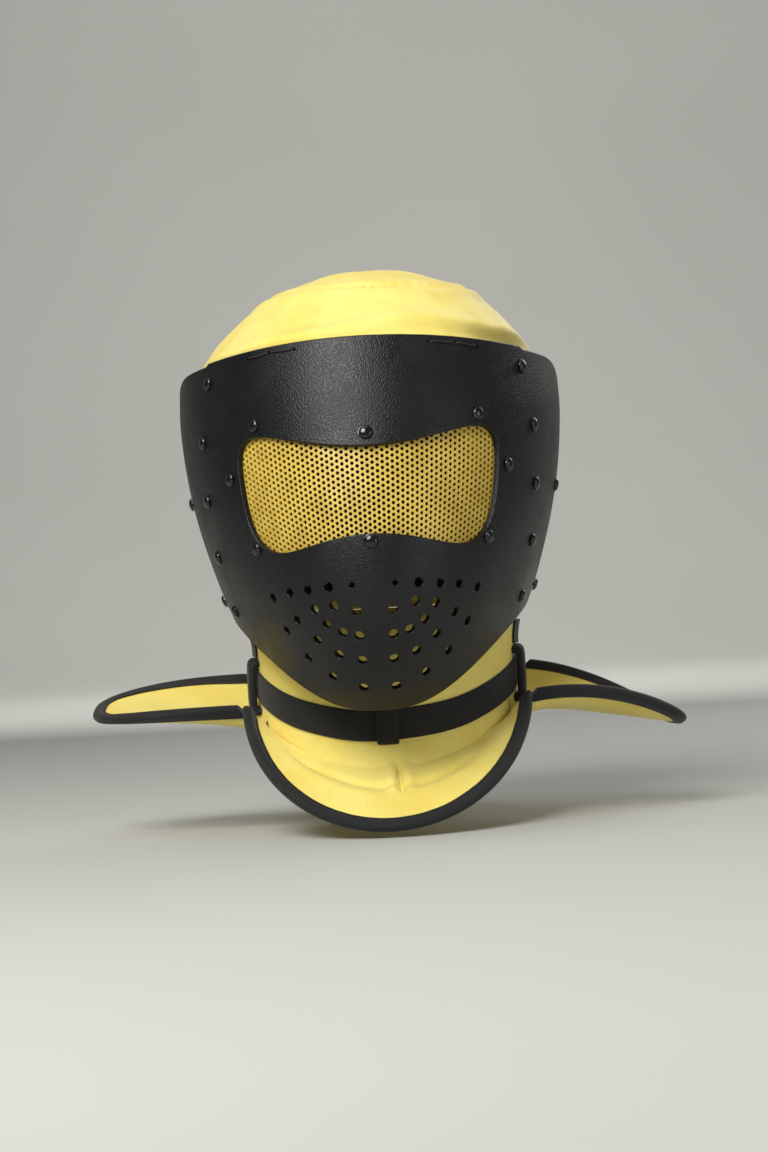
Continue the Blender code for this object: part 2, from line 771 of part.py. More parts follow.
def build_lobes(parts, padding, binding):
    """Each lobe of the collar and the binding that wraps its edge."""
    for name, lobe in collar_lobes().items():
        for bound, material in ((False, padding), (True, binding)):
            sections = {
                across: lobe_section(lobe, across, bound)
                for across in spaced(-LOBE_SPAN, LOBE_SPAN, LOBE_COLUMNS)
            }

            def place(across, corner, sections=sections):
                return sections[across][corner]

            label = name
            if bound:
                label = name.replace("flap", "binding").replace("front_bib", "bib_binding")
            mesh = grid_mesh(label, list(sections), range(4), place, wrap_rows=True)
            new_object(label, mesh, parts, material)


def build_strap(parts, material):
    """The neck strap, one closed loop round the neck wall."""
    inner, outer = FIT_GAP, FIT_GAP + STRAP_THICKNESS
    half = STRAP_WIDTH / 2
    section = ((outer, half), (outer, -half), (inner, -half), (inner, half))

    def place(turn, corner):
        point = collar_plan(turn, corner[0])
        point.z = strap_height(turn) + corner[1]
        return point

    turns = spaced(0, 2 * math.pi, STRAP_COLUMNS + 1)[:-1]
    mesh = grid_mesh("neck_strap", turns, section, place, wrap_columns=True, wrap_rows=True)
    new_object("neck_strap", mesh, parts, material)


def build_keeper(name, turn, width, height, reach, parts, material):
    """An arch over the strap, such as a belt loop, seated on the neck wall."""
    inner = 2 * FIT_GAP + STRAP_THICKNESS
    slot = STRAP_WIDTH / 2 + 3 * FIT_GAP
    half = height / 2
    bulge = [
        (inner + (reach - inner) * math.cos(angle) ** 0.6, half * math.sin(angle))
        for angle in spaced(-math.pi / 2, math.pi / 2, 9)
    ]
    profile = bulge + [(FIT_GAP, half), (FIT_GAP, slot), (inner, slot), (inner, -slot)]
    profile += [(FIT_GAP, -slot), (FIT_GAP, -half)]
    base = collar_plan(turn)
    out = (collar_plan(turn, 1.0) - base).normalized()
    along = Vector((-out.y, out.x, 0))
    step = width / COLLAR_WIDTH
    slope = (strap_height(turn + step) - strap_height(turn - step)) / width
    start = base - along * width / 2
    start.z = strap_height(turn) - slope * width / 2
    outline = [start + out * reach_out + Vector((0, 0, up)) for reach_out, up in profile]
    sweep = (along + Vector((0, 0, slope))) * width
    new_object(name, prism_mesh(name, outline, sweep), parts, material)


def build_tab(name, side, parts, material):
    """Webbing that runs from a side loop up to the shield's lower edge."""
    half = TAB_WIDTH / COLLAR_WIDTH
    low = SIDE_LOOP_HEIGHT / 2 + FIT_GAP

    def place(turn, share):
        bottom = strap_height(turn) + low
        top = min(collar_top(turn), shield_bottom(turn) - 2 * SHIELD_SHEET) - FIT_GAP
        height = top + (bottom - top) * share
        zone_top = strap_height(turn) + STRAP_WIDTH / 2 + STRAP_MARGIN
        rise = max(height - zone_top, 0.0) / (collar_top(turn) - zone_top)
        flare = COLLAR_TOP_FLARE * rise + 2 * FIT_GAP + TAB_THICKNESS / 2
        point = collar_plan(turn, flare)
        point.z = height
        return point

    turns = spaced(side * TAB_TURN - half, side * TAB_TURN + half, 4)
    mesh = grid_mesh(name, turns, spaced(0, 1, 4), place)
    add_wall(new_object(name, mesh, parts, material), TAB_THICKNESS, 0.0)


def build():
    """Builds the whole headgear."""
    for thing in list(bpy.data.objects):
        bpy.data.objects.remove(thing)
    parts = bpy.data.collections.new("sparring_headgear")
    cutters = bpy.data.collections.new("cutters")
    for collection in (parts, cutters):
        bpy.context.scene.collection.children.link(collection)
    padding = finish("yellow_fabric", (0.80, 0.66, 0.18), 0.75)
    moulded = finish("black_plastic", (0.02, 0.02, 0.022), 0.42)
    painted = finish("yellow_painted_metal", (0.85, 0.72, 0.22), 0.45)
    fastener = finish("rivet_enamel", (0.02, 0.02, 0.02), 0.3)
    webbing = finish("black_webbing", (0.02, 0.02, 0.02), 0.8)
    build_shield(parts, cutters, moulded)
    build_visor(parts, cutters, painted)
    build_rivets(parts, fastener)
    build_hood(parts, cutters, padding)
    build_collar(parts, padding)
    build_lobes(parts, padding, webbing)
    build_strap(parts, webbing)
    side_loop = (SIDE_LOOP_WIDTH, SIDE_LOOP_HEIGHT, SIDE_LOOP_REACH)
    build_keeper("strap_loop_left", -SIDE_LOOP_TURN, *side_loop, parts, webbing)
    build_keeper("strap_loop_right", SIDE_LOOP_TURN, *side_loop, parts, webbing)
    front_loop = (FRONT_LOOP_WIDTH, FRONT_LOOP_HEIGHT, FRONT_LOOP_REACH)
    build_keeper("strap_loop_front", 0.0, *front_loop, parts, webbing)
    clasp = (CLASP_WIDTH, CLASP_HEIGHT, CLASP_REACH)
    build_keeper("strap_clasp", math.pi, *clasp, parts, moulded)
    build_tab("side_tab_left", -1, parts, webbing)
    build_tab("side_tab_right", 1, parts, webbing)


if __name__ == "__main__":
    build()
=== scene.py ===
"""Looks of a padded sparring headgear with a riveted face shield.

Metres, +Z up, the face towards -Y. Left is -X and right is +X throughout.
"""

import logging
import math
from collections.abc import Callable, Iterator, Sequence
from contextlib import contextmanager
from dataclasses import dataclass, field
from enum import Enum

import bmesh
import bpy
import numpy as np
from mathutils import Matrix, Vector, noise


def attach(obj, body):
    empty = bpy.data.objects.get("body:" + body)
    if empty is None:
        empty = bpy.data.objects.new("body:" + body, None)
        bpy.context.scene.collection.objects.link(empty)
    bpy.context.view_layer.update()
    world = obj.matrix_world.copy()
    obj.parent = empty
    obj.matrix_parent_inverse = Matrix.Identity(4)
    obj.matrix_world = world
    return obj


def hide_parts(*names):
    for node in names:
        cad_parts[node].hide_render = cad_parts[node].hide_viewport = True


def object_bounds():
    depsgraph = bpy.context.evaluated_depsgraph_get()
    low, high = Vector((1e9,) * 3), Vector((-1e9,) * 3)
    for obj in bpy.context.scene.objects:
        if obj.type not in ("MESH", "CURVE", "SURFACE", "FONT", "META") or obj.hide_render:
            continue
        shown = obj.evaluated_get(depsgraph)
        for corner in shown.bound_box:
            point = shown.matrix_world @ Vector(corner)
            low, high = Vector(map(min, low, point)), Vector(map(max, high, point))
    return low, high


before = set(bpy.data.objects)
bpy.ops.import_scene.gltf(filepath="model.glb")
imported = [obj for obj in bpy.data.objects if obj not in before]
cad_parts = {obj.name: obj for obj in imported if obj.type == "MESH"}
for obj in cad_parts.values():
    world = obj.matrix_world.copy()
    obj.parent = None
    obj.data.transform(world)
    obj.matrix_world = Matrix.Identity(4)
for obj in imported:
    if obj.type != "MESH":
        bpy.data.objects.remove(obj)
CAD_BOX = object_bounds()

MM = 0.001
UP = Vector((0, 0, 1))
LOG = logging.getLogger("headgear")


class Slot(Enum):
    """Material slots of the record."""

    FABRIC = "yellow_fabric"
    PLASTIC = "black_plastic"
    PAINT = "yellow_painted_metal"
    ENAMEL = "rivet_enamel"
    WEBBING = "black_webbing"


class Side(Enum):
    """The two sides of the headgear."""

    LEFT = -1
    RIGHT = 1

    @property
    def label(self) -> str:
        """Its name in the names of pieces."""
        return self.name.lower()


# Node graphs


@dataclass(frozen=True)
class Value:
    """A socket whose arithmetic adds Math nodes to its graph."""

    graph: "ShaderGraph"
    socket: bpy.types.NodeSocket

    def _math(self, operation: str, *values: "Value | float") -> "Value":
        """Adds a Math node.

        Args:
            operation: the node's operation.
            values: its inputs, in order.

        Returns:
            The node's result.
        """
        return self.graph.node(
            "ShaderNodeMath", {"operation": operation}, dict(enumerate(values))
        )

    def __add__(self, other: "Value | float") -> "Value":
        """Sum."""
        return self._math("ADD", self, other)

    def __sub__(self, other: "Value | float") -> "Value":
        """Difference."""
        return self._math("SUBTRACT", self, other)

    def __rsub__(self, other: float) -> "Value":
        """Reflected difference."""
        return self._math("SUBTRACT", other, self)

    def __mul__(self, other: "Value | float") -> "Value":
        """Product."""
        return self._math("MULTIPLY", self, other)

    def sin(self) -> "Value":
        """Sine."""
        return self._math("SINE", self)

    def ramp(self, low: float, high: float, start: float = 0.0, end: float = 1.0) -> "Value":
        """Maps low..high smoothly to start..end.

        Args:
            low: value that gives start.
            high: value that gives end.
            start: result at and below low.
            end: result at and above high.

        Returns:
            The mapped value.
        """
        return self.graph.node(
            "ShaderNodeMapRange",
            {"interpolation_type": "SMOOTHSTEP"},
            {"Value": self, "From Min": low, "From Max": high, "To Min": start, "To Max": end},
        )


class NodeGraph:
    """A node tree that is built from Python calls."""

    tree: bpy.types.NodeTree

    def feed(self, socket: bpy.types.NodeSocket, value: object) -> None:
        """Links a value to a socket, or sets the socket's own value."""
        source = value.socket if isinstance(value, Value) else value
        if isinstance(source, bpy.types.NodeSocket):
            self.tree.links.new(source, socket)
        else:
            socket.default_value = source

    def node(
        self,
        kind: str,
        settings: dict[str, object] | None = None,
        inputs: dict[str | int, object] | None = None,
        output: str | int = 0,
    ) -> bpy.types.NodeSocket:
        """Adds a node.

        Args:
            kind: the node's type.
            settings: its properties, set before its sockets.
            inputs: values or links of its sockets, by name or number.
            output: which of its results to give.

        Returns:
            The chosen result.
        """
        made = self.tree.nodes.new(kind)
        for key, value in (settings or {}).items():
            setattr(made, key, value)
        for key, value in (inputs or {}).items():
            self.feed(made.inputs[key], value)
        return made.outputs[output]


@dataclass
class ShaderGraph(NodeGraph):
    """The node tree of one material, built from Python expressions."""

    name: str
    material: bpy.types.Material = field(init=False)

    def __post_init__(self) -> None:
        """Creates the material with its Principled shader alone."""
        self.material = bpy.data.materials.new(self.name)
        self.material.use_nodes = True
        self.tree = self.material.node_tree
        self.shader = self.tree.nodes["Principled BSDF"]

    def node(self, *row: object, **named: object) -> Value:
        """Adds a node, as in any graph, and gives its result as a value."""
        return Value(self, super().node(*row, **named))

    def coordinates(self) -> Value:
        """Object coordinates in metres."""
        return self.node("ShaderNodeTexCoord", output="Object")

    def across(self) -> tuple[Value, Value]:
        """The piece's own surface coordinates in metres: along and across."""
        spread = self.node("ShaderNodeUVMap", {"uv_map": "UVMap"})
        return tuple(
            self.node("ShaderNodeSeparateXYZ", inputs={0: spread}, output=part) for part in (0, 1)
        )

    def noise(self, scale: float, detail: float = 2.0, where: Value | None = None) -> Value:
        """Fractal noise.

        Args:
            scale: features in a metre.
            detail: octaves.
            where: coordinates, or None for Object coordinates.

        Returns:
            A value about 0.5.
        """
        inputs = {"Vector": where or self.coordinates(), "Scale": scale, "Detail": detail}
        return self.node("ShaderNodeTexNoise", inputs=inputs)

    def mix(self, factor: Value, first: object, second: object) -> Value:
        """Blends two colours.

        Args:
            factor: share of the second.
            first: a colour or a link.
            second: a colour or a link.

        Returns:
            The blended colour.
        """
        inputs = {0: factor, 6: first, 7: second}
        return self.node("ShaderNodeMix", {"data_type": "RGBA"}, inputs, output=2)

    def bump(self, height: Value, distance: float, strength: float = 1.0,
             normal: Value | None = None) -> Value:
        """Bump from a height.

        Args:
            height: the relief, from 0 to 1.
            distance: how tall 1 is, in metres.
            strength: share of the effect.
            normal: a bump to add this one to.

        Returns:
            The normal.
        """
        inputs = {"Height": height, "Distance": distance, "Strength": strength}
        if normal is not None:
            inputs["Normal"] = normal
        return self.node("ShaderNodeBump", inputs=inputs)

    def finish(self, **sockets: object) -> bpy.types.Material:
        """Sets the shader's sockets; an underscore in a name stands for a space.

        Args:
            sockets: values and links.

        Returns:
            The material.
        """
        for key, value in sockets.items():
            self.feed(self.shader.inputs[key.replace("_", " ")], value)
        return self.material


def rgb(red: float, green: float, blue: float) -> tuple[float, float, float, float]:
    """A linear colour with full alpha, from display values of 0 to 255."""
    return (*(((part / 255 + 0.055) / 1.055) ** 2.4 for part in (red, green, blue)), 1.0)


# Finishes


@dataclass(frozen=True)
class PaddedNylon:
    """Yellow nylon over padding: fine weave, soft sheen and slight soiling."""

    name: str = "padded_nylon"
    light: tuple = rgb(248, 231, 126)
    deep: tuple = rgb(242, 218, 104)
    soil: tuple = rgb(204, 176, 70)
    thread_pitch: float = 0.85 * MM
    rib_pitch: float = 0.0
    rib_share: float = 0.0

    def material(self) -> bpy.types.Material:
        """Builds the material."""
        graph = ShaderGraph(self.name)
        along, across = graph.across()
        turn = 2 * math.pi / self.thread_pitch
        warp = (along * turn).sin()
        weft = (across * turn).sin()
        weave = warp * weft * 0.5 + 0.5
        cloud = graph.noise(22.0, 3.0)
        fine = graph.noise(420.0, 2.0)
        dirt = graph.noise(46.0, 4.0).ramp(0.56, 0.74)
        tone = graph.mix(cloud.ramp(0.36, 0.66), self.light, self.deep)
        tone = graph.mix(dirt * 0.10, tone, self.soil)
        tone = graph.mix((1.0 - weave) * 0.12 + fine * 0.06, tone, self.soil)
        relief = weave * 0.6 + fine * 0.4
        normal = graph.bump(relief, 0.10 * MM, 0.5)
        if self.rib_share:
            rib = (along * (2 * math.pi / self.rib_pitch)).sin() * 0.5 + 0.5
            normal = graph.bump(rib, 0.16 * MM, self.rib_share, normal)
        soft = graph.noise(90.0, 2.0)
        normal = graph.bump(soft, 0.9 * MM, 0.35, normal)
        return graph.finish(
            Base_Color=tone,
            Roughness=cloud.ramp(0.3, 0.7, 0.62, 0.74),
            Normal=normal,
            Sheen_Weight=0.25,
            Sheen_Roughness=0.45,
            Specular_IOR_Level=0.35,
        )


@dataclass(frozen=True)
class Lining:
    """Charcoal knitted lining inside the hood."""

    name: str = "charcoal_lining"
    base: tuple = rgb(16, 16, 17)
    light: tuple = rgb(38, 38, 40)
    pitch: float = 1.6 * MM

    def material(self) -> bpy.types.Material:
        """Builds the material."""
        graph = ShaderGraph(self.name)
        along, across = graph.across()
        turn = 2 * math.pi / self.pitch
        knit = ((along + across) * turn).sin() * ((along - across) * turn).sin() * 0.5 + 0.5
        fluff = graph.noise(600.0, 3.0)
        return graph.finish(
            Base_Color=graph.mix(knit * 0.5 + fluff * 0.5, self.base, self.light),
            Roughness=fluff.ramp(0.2, 0.8, 0.8, 0.92),
            Normal=graph.bump(knit * 0.6 + fluff * 0.4, 0.2 * MM, 0.6),
            Sheen_Weight=0.2,
        )


@dataclass(frozen=True)
class PebblePlastic:
    """Black moulded plastic with a fine pebble grain, lighter where it is worn."""

    name: str = "pebble_plastic"
    base: tuple = rgb(9, 9, 11)
    worn: tuple = rgb(26, 26, 28)
    grain_scale: float = 1000.0
    grain_depth: float = 0.24 * MM

    def material(self) -> bpy.types.Material:
        """Builds the material."""
        graph = ShaderGraph(self.name)
        where = graph.coordinates()
        cells = graph.node(
            "ShaderNodeTexVoronoi",
            {"feature": "SMOOTH_F1"},
            {"Vector": where, "Scale": self.grain_scale, "Smoothness": 0.6},
        )
        fine = graph.noise(self.grain_scale * 1.3, 2.0, where)
        pebble = cells.ramp(0.1, 0.75, 1.0, 0.0) * 0.65 + fine * 0.35
        patch = graph.noise(28.0, 3.0, where)
        scuff = graph.noise(210.0, 4.0, where).ramp(0.64, 0.78)
        tone = graph.mix(patch.ramp(0.4, 0.7) * 0.25 + scuff * 0.2, self.base, self.worn)
        return graph.finish(
            Base_Color=tone,
            Roughness=patch.ramp(0.3, 0.7, 0.36, 0.46) + scuff * 0.12,
            Normal=graph.bump(pebble, self.grain_depth, 0.9),
            Specular_IOR_Level=0.42,
        )


@dataclass(frozen=True)
class PaintedSheet:
    """Yellow paint on a thin perforated metal sheet, with a few small chips."""

    name: str = "painted_sheet"
    paint: tuple = rgb(214, 184, 82)
    shade: tuple = rgb(196, 165, 68)
    chip: tuple = rgb(120, 96, 40)

    def material(self) -> bpy.types.Material:
        """Builds the material."""
        graph = ShaderGraph(self.name)
        patch = graph.noise(60.0, 3.0)
        chips = graph.noise(700.0, 3.0).ramp(0.70, 0.76)
        tone = graph.mix(patch.ramp(0.35, 0.7), self.paint, self.shade)
        tone = graph.mix(chips * 0.6, tone, self.chip)
        orange_peel = graph.noise(900.0, 1.0)
        return graph.finish(
            Base_Color=tone,
            Roughness=patch.ramp(0.3, 0.7, 0.40, 0.52),
            Normal=graph.bump(orange_peel, 0.05 * MM, 0.4),
            Metallic=0.0,
        )


@dataclass(frozen=True)
class RivetEnamel:
    """Glossy black enamel with fine scratches."""

    name: str = "rivet_enamel"
    base: tuple = rgb(8, 8, 9)
    worn: tuple = rgb(52, 52, 54)

    def material(self) -> bpy.types.Material:
        """Builds the material."""
        graph = ShaderGraph(self.name)
        stretch = graph.node(
            "ShaderNodeMapping", inputs={"Vector": graph.coordinates(), "Scale": (1.0, 1.0, 6.0)}
        )
        scratch = graph.noise(900.0, 4.0, stretch).ramp(0.62, 0.78)
        return graph.finish(
            Base_Color=graph.mix(scratch * 0.35, self.base, self.worn),
            Roughness=scratch * 0.25 + 0.2,
            Normal=graph.bump(graph.noise(500.0), 0.03 * MM, 0.4),
            Coat_Weight=0.3,
            Coat_Roughness=0.1,
        )


@dataclass(frozen=True)
class Webbing:
    """Black woven tape; rows across it and a wale along it."""

    name: str = "woven_webbing"
    base: tuple = rgb(6, 6, 7)
    light: tuple = rgb(27, 27, 29)
    row_pitch: float = 1.5 * MM
    wale_pitch: float = 1.5 * MM
    slant: float = 0.0
    depth: float = 0.35 * MM

    def material(self) -> bpy.types.Material:
        """Builds the material."""
        graph = ShaderGraph(self.name)
        along, across = graph.across()
        rows = ((along + across * self.slant) * (2 * math.pi / self.row_pitch)).sin()
        wales = (across * (2 * math.pi / self.wale_pitch)).sin() if self.wale_pitch else None
        relief = rows * 0.5 + 0.5
        if wales is not None:
            relief = relief * 0.6 + (wales * 0.5 + 0.5) * 0.4
        fluff = graph.noise(1100.0, 2.0)
        patch = graph.noise(40.0, 3.0)
        tone = graph.mix(
            relief * 0.55 + fluff * 0.25 + patch.ramp(0.4, 0.7) * 0.2, self.base, self.light
        )
        return graph.finish(
            Base_Color=tone,
            Roughness=patch.ramp(0.3, 0.7, 0.66, 0.8),
            Normal=graph.bump(relief * 0.8 + fluff * 0.2, self.depth, 0.8),
            Sheen_Weight=0.15,
            Sheen_Roughness=0.5,
            Specular_IOR_Level=0.4,
        )


@dataclass(frozen=True)
class Thread:
    """Twisted sewing thread."""

    name: str
    base: tuple
    light: tuple

    def material(self) -> bpy.types.Material:
        """Builds the material."""
        graph = ShaderGraph(self.name)
        strands = graph.noise(1800.0, 2.0)
        return graph.finish(
            Base_Color=graph.mix(strands, self.base, self.light),
            Roughness=strands.ramp(0.2, 0.8, 0.55, 0.75),
            Normal=graph.bump(strands, 0.1 * MM, 0.6),
        )


@dataclass
class Palette:
    """Every finish, built once."""

    nylon: bpy.types.Material = field(init=False)

    def __post_init__(self) -> None:
        """Builds the materials."""
        self.nylon = PaddedNylon().material()
        self.ribbed_nylon = PaddedNylon(
            name="ribbed_nylon", rib_pitch=1.9 * MM, rib_share=0.5
        ).material()
        self.lining = Lining().material()
        self.plastic = PebblePlastic().material()
        self.paint = PaintedSheet().material()
        self.enamel = RivetEnamel().material()
        self.webbing = Webbing().material()
        self.slanted = Webbing(name="slanted_webbing", slant=0.9, wale_pitch=0.0).material()
        self.grosgrain = Webbing(
            name="grosgrain_binding", row_pitch=1.35 * MM, wale_pitch=0.0, depth=0.3 * MM
        ).material()
        self.thread = Thread("dark_thread", rgb(15, 13, 14), rgb(52, 44, 44)).material()
        self.pale_thread = Thread("pale_thread", rgb(205, 176, 60), rgb(246, 226, 120)).material()


# Meshes


def link(name: str, mesh: bpy.types.Mesh) -> bpy.types.Object:
    """Puts a mesh in the scene as an object of that name."""
    thing = bpy.data.objects.new(name, mesh)
    bpy.context.scene.collection.objects.link(thing)
    return thing


@contextmanager
def edited(mesh: bpy.types.Mesh) -> Iterator[bmesh.types.BMesh]:
    """Opens a mesh for editing and then writes it back."""
    builder = bmesh.new()
    builder.from_mesh(mesh)
    yield builder
    builder.to_mesh(mesh)
    builder.free()


def shaded(mesh: bpy.types.Mesh, sharp: float = 40.0) -> None:
    """Shades a mesh smooth, apart from edges over an angle in degrees."""
    mesh.shade_smooth()
    mesh.set_sharp_from_angle(angle=math.radians(sharp))


def lofted(
    name: str,
    points: Sequence[Sequence[Vector]],
    wrap_columns: bool = False,
    wrap_rows: bool = False,
    caps: bool = False,
    sharp: float = 40.0,
) -> bpy.types.Object:
    """A surface through columns of points, with surface coordinates in metres.

    Args:
        name: the object's name.
        points: columns of rows of points.
        wrap_columns: joins the last column to the first.
        wrap_rows: joins the last row to the first.
        caps: closes the first and the last column.
        sharp: angle in degrees over which an edge is sharp.

    Returns:
        The object.
    """
    place = np.array([[tuple(point) for point in column] for column in points])
    columns, rows = place.shape[:2]
    column = np.arange(columns if wrap_columns else columns - 1)
    row = np.arange(rows if wrap_rows else rows - 1)
    c, r = (part.ravel() for part in np.meshgrid(column, row, indexing="ij"))
    corners = ((c, r), (c, r + 1), (c + 1, r + 1), (c + 1, r))
    faces = np.stack([(a % columns) * rows + b % rows for a, b in corners], 1).tolist()
    whole = np.concatenate([place, place[:1]], 0)
    whole = np.concatenate([whole, whole[:, :1]], 1)
    along = np.linalg.norm(np.diff(whole, axis=0), axis=2).mean(1)
    down = np.linalg.norm(np.diff(whole, axis=1), axis=2).mean(0)
    along, down = (np.concatenate([[0.0], np.cumsum(part)]) for part in (along, down))
    spread = np.stack([np.stack([along[a], down[b]], 1) for a, b in corners], 1).reshape(-1, 2)
    if caps:
        faces += [list(range(rows))[::-1], list(range((columns - 1) * rows, columns * rows))]
        spread = np.concatenate([spread, np.zeros((2 * rows, 2))])
    mesh = bpy.data.meshes.new(name)
    mesh.from_pydata(place.reshape(-1, 3).tolist(), [], faces)
    layer = mesh.uv_layers.new(name="UVMap")
    layer.data.foreach_set("uv", spread.astype(np.float32).ravel())
    with edited(mesh) as builder:
        bmesh.ops.remove_doubles(builder, verts=builder.verts, dist=0.005 * MM)
        bmesh.ops.dissolve_degenerate(builder, edges=builder.edges, dist=0.001 * MM)
    shaded(mesh, sharp)
    return link(name, mesh)


def spaced(start: float, end: float, count: int) -> list[float]:
    """Evenly spaced values from start to end, both included."""
    return [start + (end - start) * index / (count - 1) for index in range(count)]


def eased(start: float, end: float, count: int) -> list[float]:
    """Values from start to end, closer together towards both."""
    middle, half = (start + end) / 2, (end - start) / 2
    return [middle - half * math.cos(angle) for angle in spaced(0, math.pi, count)]


def bell(distance: float, width: float) -> float:
    """A soft bump of height 1 at no distance."""
    return math.exp(-((distance / width) ** 2))


def smooth(value: float, low: float, high: float) -> float:
    """A soft step from 0 at low to 1 at high."""
    part = min(max((value - low) / (high - low), 0.0), 1.0)
    return part * part * (3 - 2 * part)


def signed_power(value: float, power: float) -> float:
    """Raises a value's size to a power and keeps its sign."""
    return math.copysign(abs(value) ** power, value)


def ripple(point: Vector, size: float, seed: float = 0.0) -> float:
    """Smooth noise of about -1 to 1 with features of a size."""
    return noise.noise(point / size + Vector((seed, seed * 0.7, -seed)))


def settled(thing: bpy.types.Object) -> bpy.types.Object:
    """Turns an object's modifiers into its mesh."""
    bpy.context.view_layer.update()
    graph = bpy.context.evaluated_depsgraph_get()
    mesh = bpy.data.meshes.new_from_object(thing.evaluated_get(graph), depsgraph=graph)
    mesh.name = thing.name
    thing.modifiers.clear()
    thing.data = mesh
    return thing


def add(thing: bpy.types.Object, kind: str, **settings: object) -> bpy.types.Modifier:
    """Adds a modifier with its settings."""
    modifier = thing.modifiers.new(kind.lower(), kind)
    for key, value in settings.items():
        setattr(modifier, key, value)
    return modifier


def discard(*things: bpy.types.Object) -> None:
    """Removes helper objects."""
    for thing in things:
        bpy.data.objects.remove(thing)


def outward(thing: bpy.types.Object) -> bpy.types.Object:
    """Turns a closed mesh's faces outwards."""
    with edited(thing.data) as builder:
        bmesh.ops.recalc_face_normals(builder, faces=builder.faces)
    return thing


def facing(point: Vector, normal: Vector) -> Matrix:
    """A matrix at a point, with its Z axis along a normal."""
    return Matrix.Translation(point) @ normal.to_track_quat("Z", "Y").to_matrix().to_4x4()


def turned(
    name: str, profile: Sequence[tuple[float, float]], sides: int, places: Sequence[Matrix]
) -> bpy.types.Object:
    """Closed turned bodies in one mesh.

    Args:
        name: the object's name.
        profile: radius and height of each ring, from the top to the bottom.
        sides: faces round each body.
        places: where each body stands.

    Returns:
        The object.
    """
    rings = [
        [
            Vector((radius * math.cos(angle), radius * math.sin(angle), height))
            for angle in (2 * math.pi * side / sides for side in range(sides))
        ]
        for radius, height in profile
    ]
    mesh = bpy.data.meshes.new(name)
    with edited(mesh) as builder:
        for place in places:
            corners = [[builder.verts.new(place @ point) for point in ring] for ring in rings]
            for above, below in zip(corners, corners[1:]):
                for side in range(sides):
                    after = (side + 1) % sides
                    builder.faces.new((above[side], below[side], below[after], above[after]))
            builder.faces.new(corners[0])
            builder.faces.new(corners[-1][::-1])
        bmesh.ops.remove_doubles(builder, verts=builder.verts, dist=0.002 * MM)
        bmesh.ops.recalc_face_normals(builder, faces=builder.faces)
    shaded(mesh)
    return link(name, mesh)


def swept(
    name: str,
    path: Sequence[Vector],
    side: Callable[[int], Vector],
    half_width: Callable[[float], float],
    half_thickness: float,
    power: float = 4.0,
    sides: int = 20,
    closed: bool = False,
) -> bpy.types.Object:
    """A tape or cord with a rounded section, swept along a path.

    Args:
        name: the object's name.
        path: points of its middle line.
        side: direction of its width at each point.
        half_width: half its width at a share of its length.
        half_thickness: half its thickness.
        power: squareness of the section, 2 for round.
        sides: points round the section.
        closed: whether the path is a loop.

    Returns:
        The object.
    """
    count = len(path)
    columns = []
    for index, point in enumerate(path):
        before = path[index - 1] if closed or index else point
        after = path[(index + 1) % count] if closed or index < count - 1 else point
        forward = (after - before).normalized()
        width_way = side(index).normalized()
        thick_way = forward.cross(width_way).normalized()
        half = half_width(index / (count - 1))
        column = []
        for step in range(sides):
            angle = 2 * math.pi * step / sides
            wide = signed_power(math.cos(angle), 2 / power) * half
            thick = signed_power(math.sin(angle), 2 / power) * half_thickness
            column.append(point + width_way * wide + thick_way * thick)
        columns.append(column)
    return outward(lofted(name, columns, closed, True, not closed))


# Repeated bodies


@dataclass
class NodeTree(NodeGraph):
    """A Geometry Nodes tree with named inputs."""

    name: str

    def __post_init__(self) -> None:
        """Creates the tree with its input and output."""
        self.tree = bpy.data.node_groups.new(self.name, "GeometryNodeTree")
        self.tree.interface.new_socket("Geometry", in_out="INPUT", socket_type="NodeSocketGeometry")
        self.tree.interface.new_socket(
            "Geometry", in_out="OUTPUT", socket_type="NodeSocketGeometry"
        )
        self.source = self.tree.nodes.new("NodeGroupInput")
        self.result = self.tree.nodes.new("NodeGroupOutput")
        self.keys: dict[str, str] = {}

    def input(self, name: str, kind: str) -> bpy.types.NodeSocket:
        """Adds a named input of a kind and gives its socket."""
        made = self.tree.interface.new_socket(name, in_out="INPUT", socket_type=f"NodeSocket{kind}")
        self.keys[name] = made.identifier
        return self.source.outputs[name]

    def close(self, instances: bpy.types.NodeSocket, material: bpy.types.NodeSocket) -> None:
        """Ends the tree: makes the instances real and sets their material."""
        real = self.node("GeometryNodeRealizeInstances", inputs={0: instances})
        dressed = self.node("GeometryNodeSetMaterial", inputs={0: real, "Material": material})
        self.tree.links.new(dressed, self.result.inputs[0])

    def run(self, thing: bpy.types.Object, **values: object) -> bpy.types.Object:
        """Runs the tree on an object and keeps the result as its mesh.

        Args:
            thing: the object that carries the points.
            values: the tree's inputs, by name.

        Returns:
            The object.
        """
        modifier = thing.modifiers.new(self.name, "NODES")
        modifier.node_group = self.tree
        for name, value in values.items():
            modifier[self.keys[name]] = value
        return settled(thing)


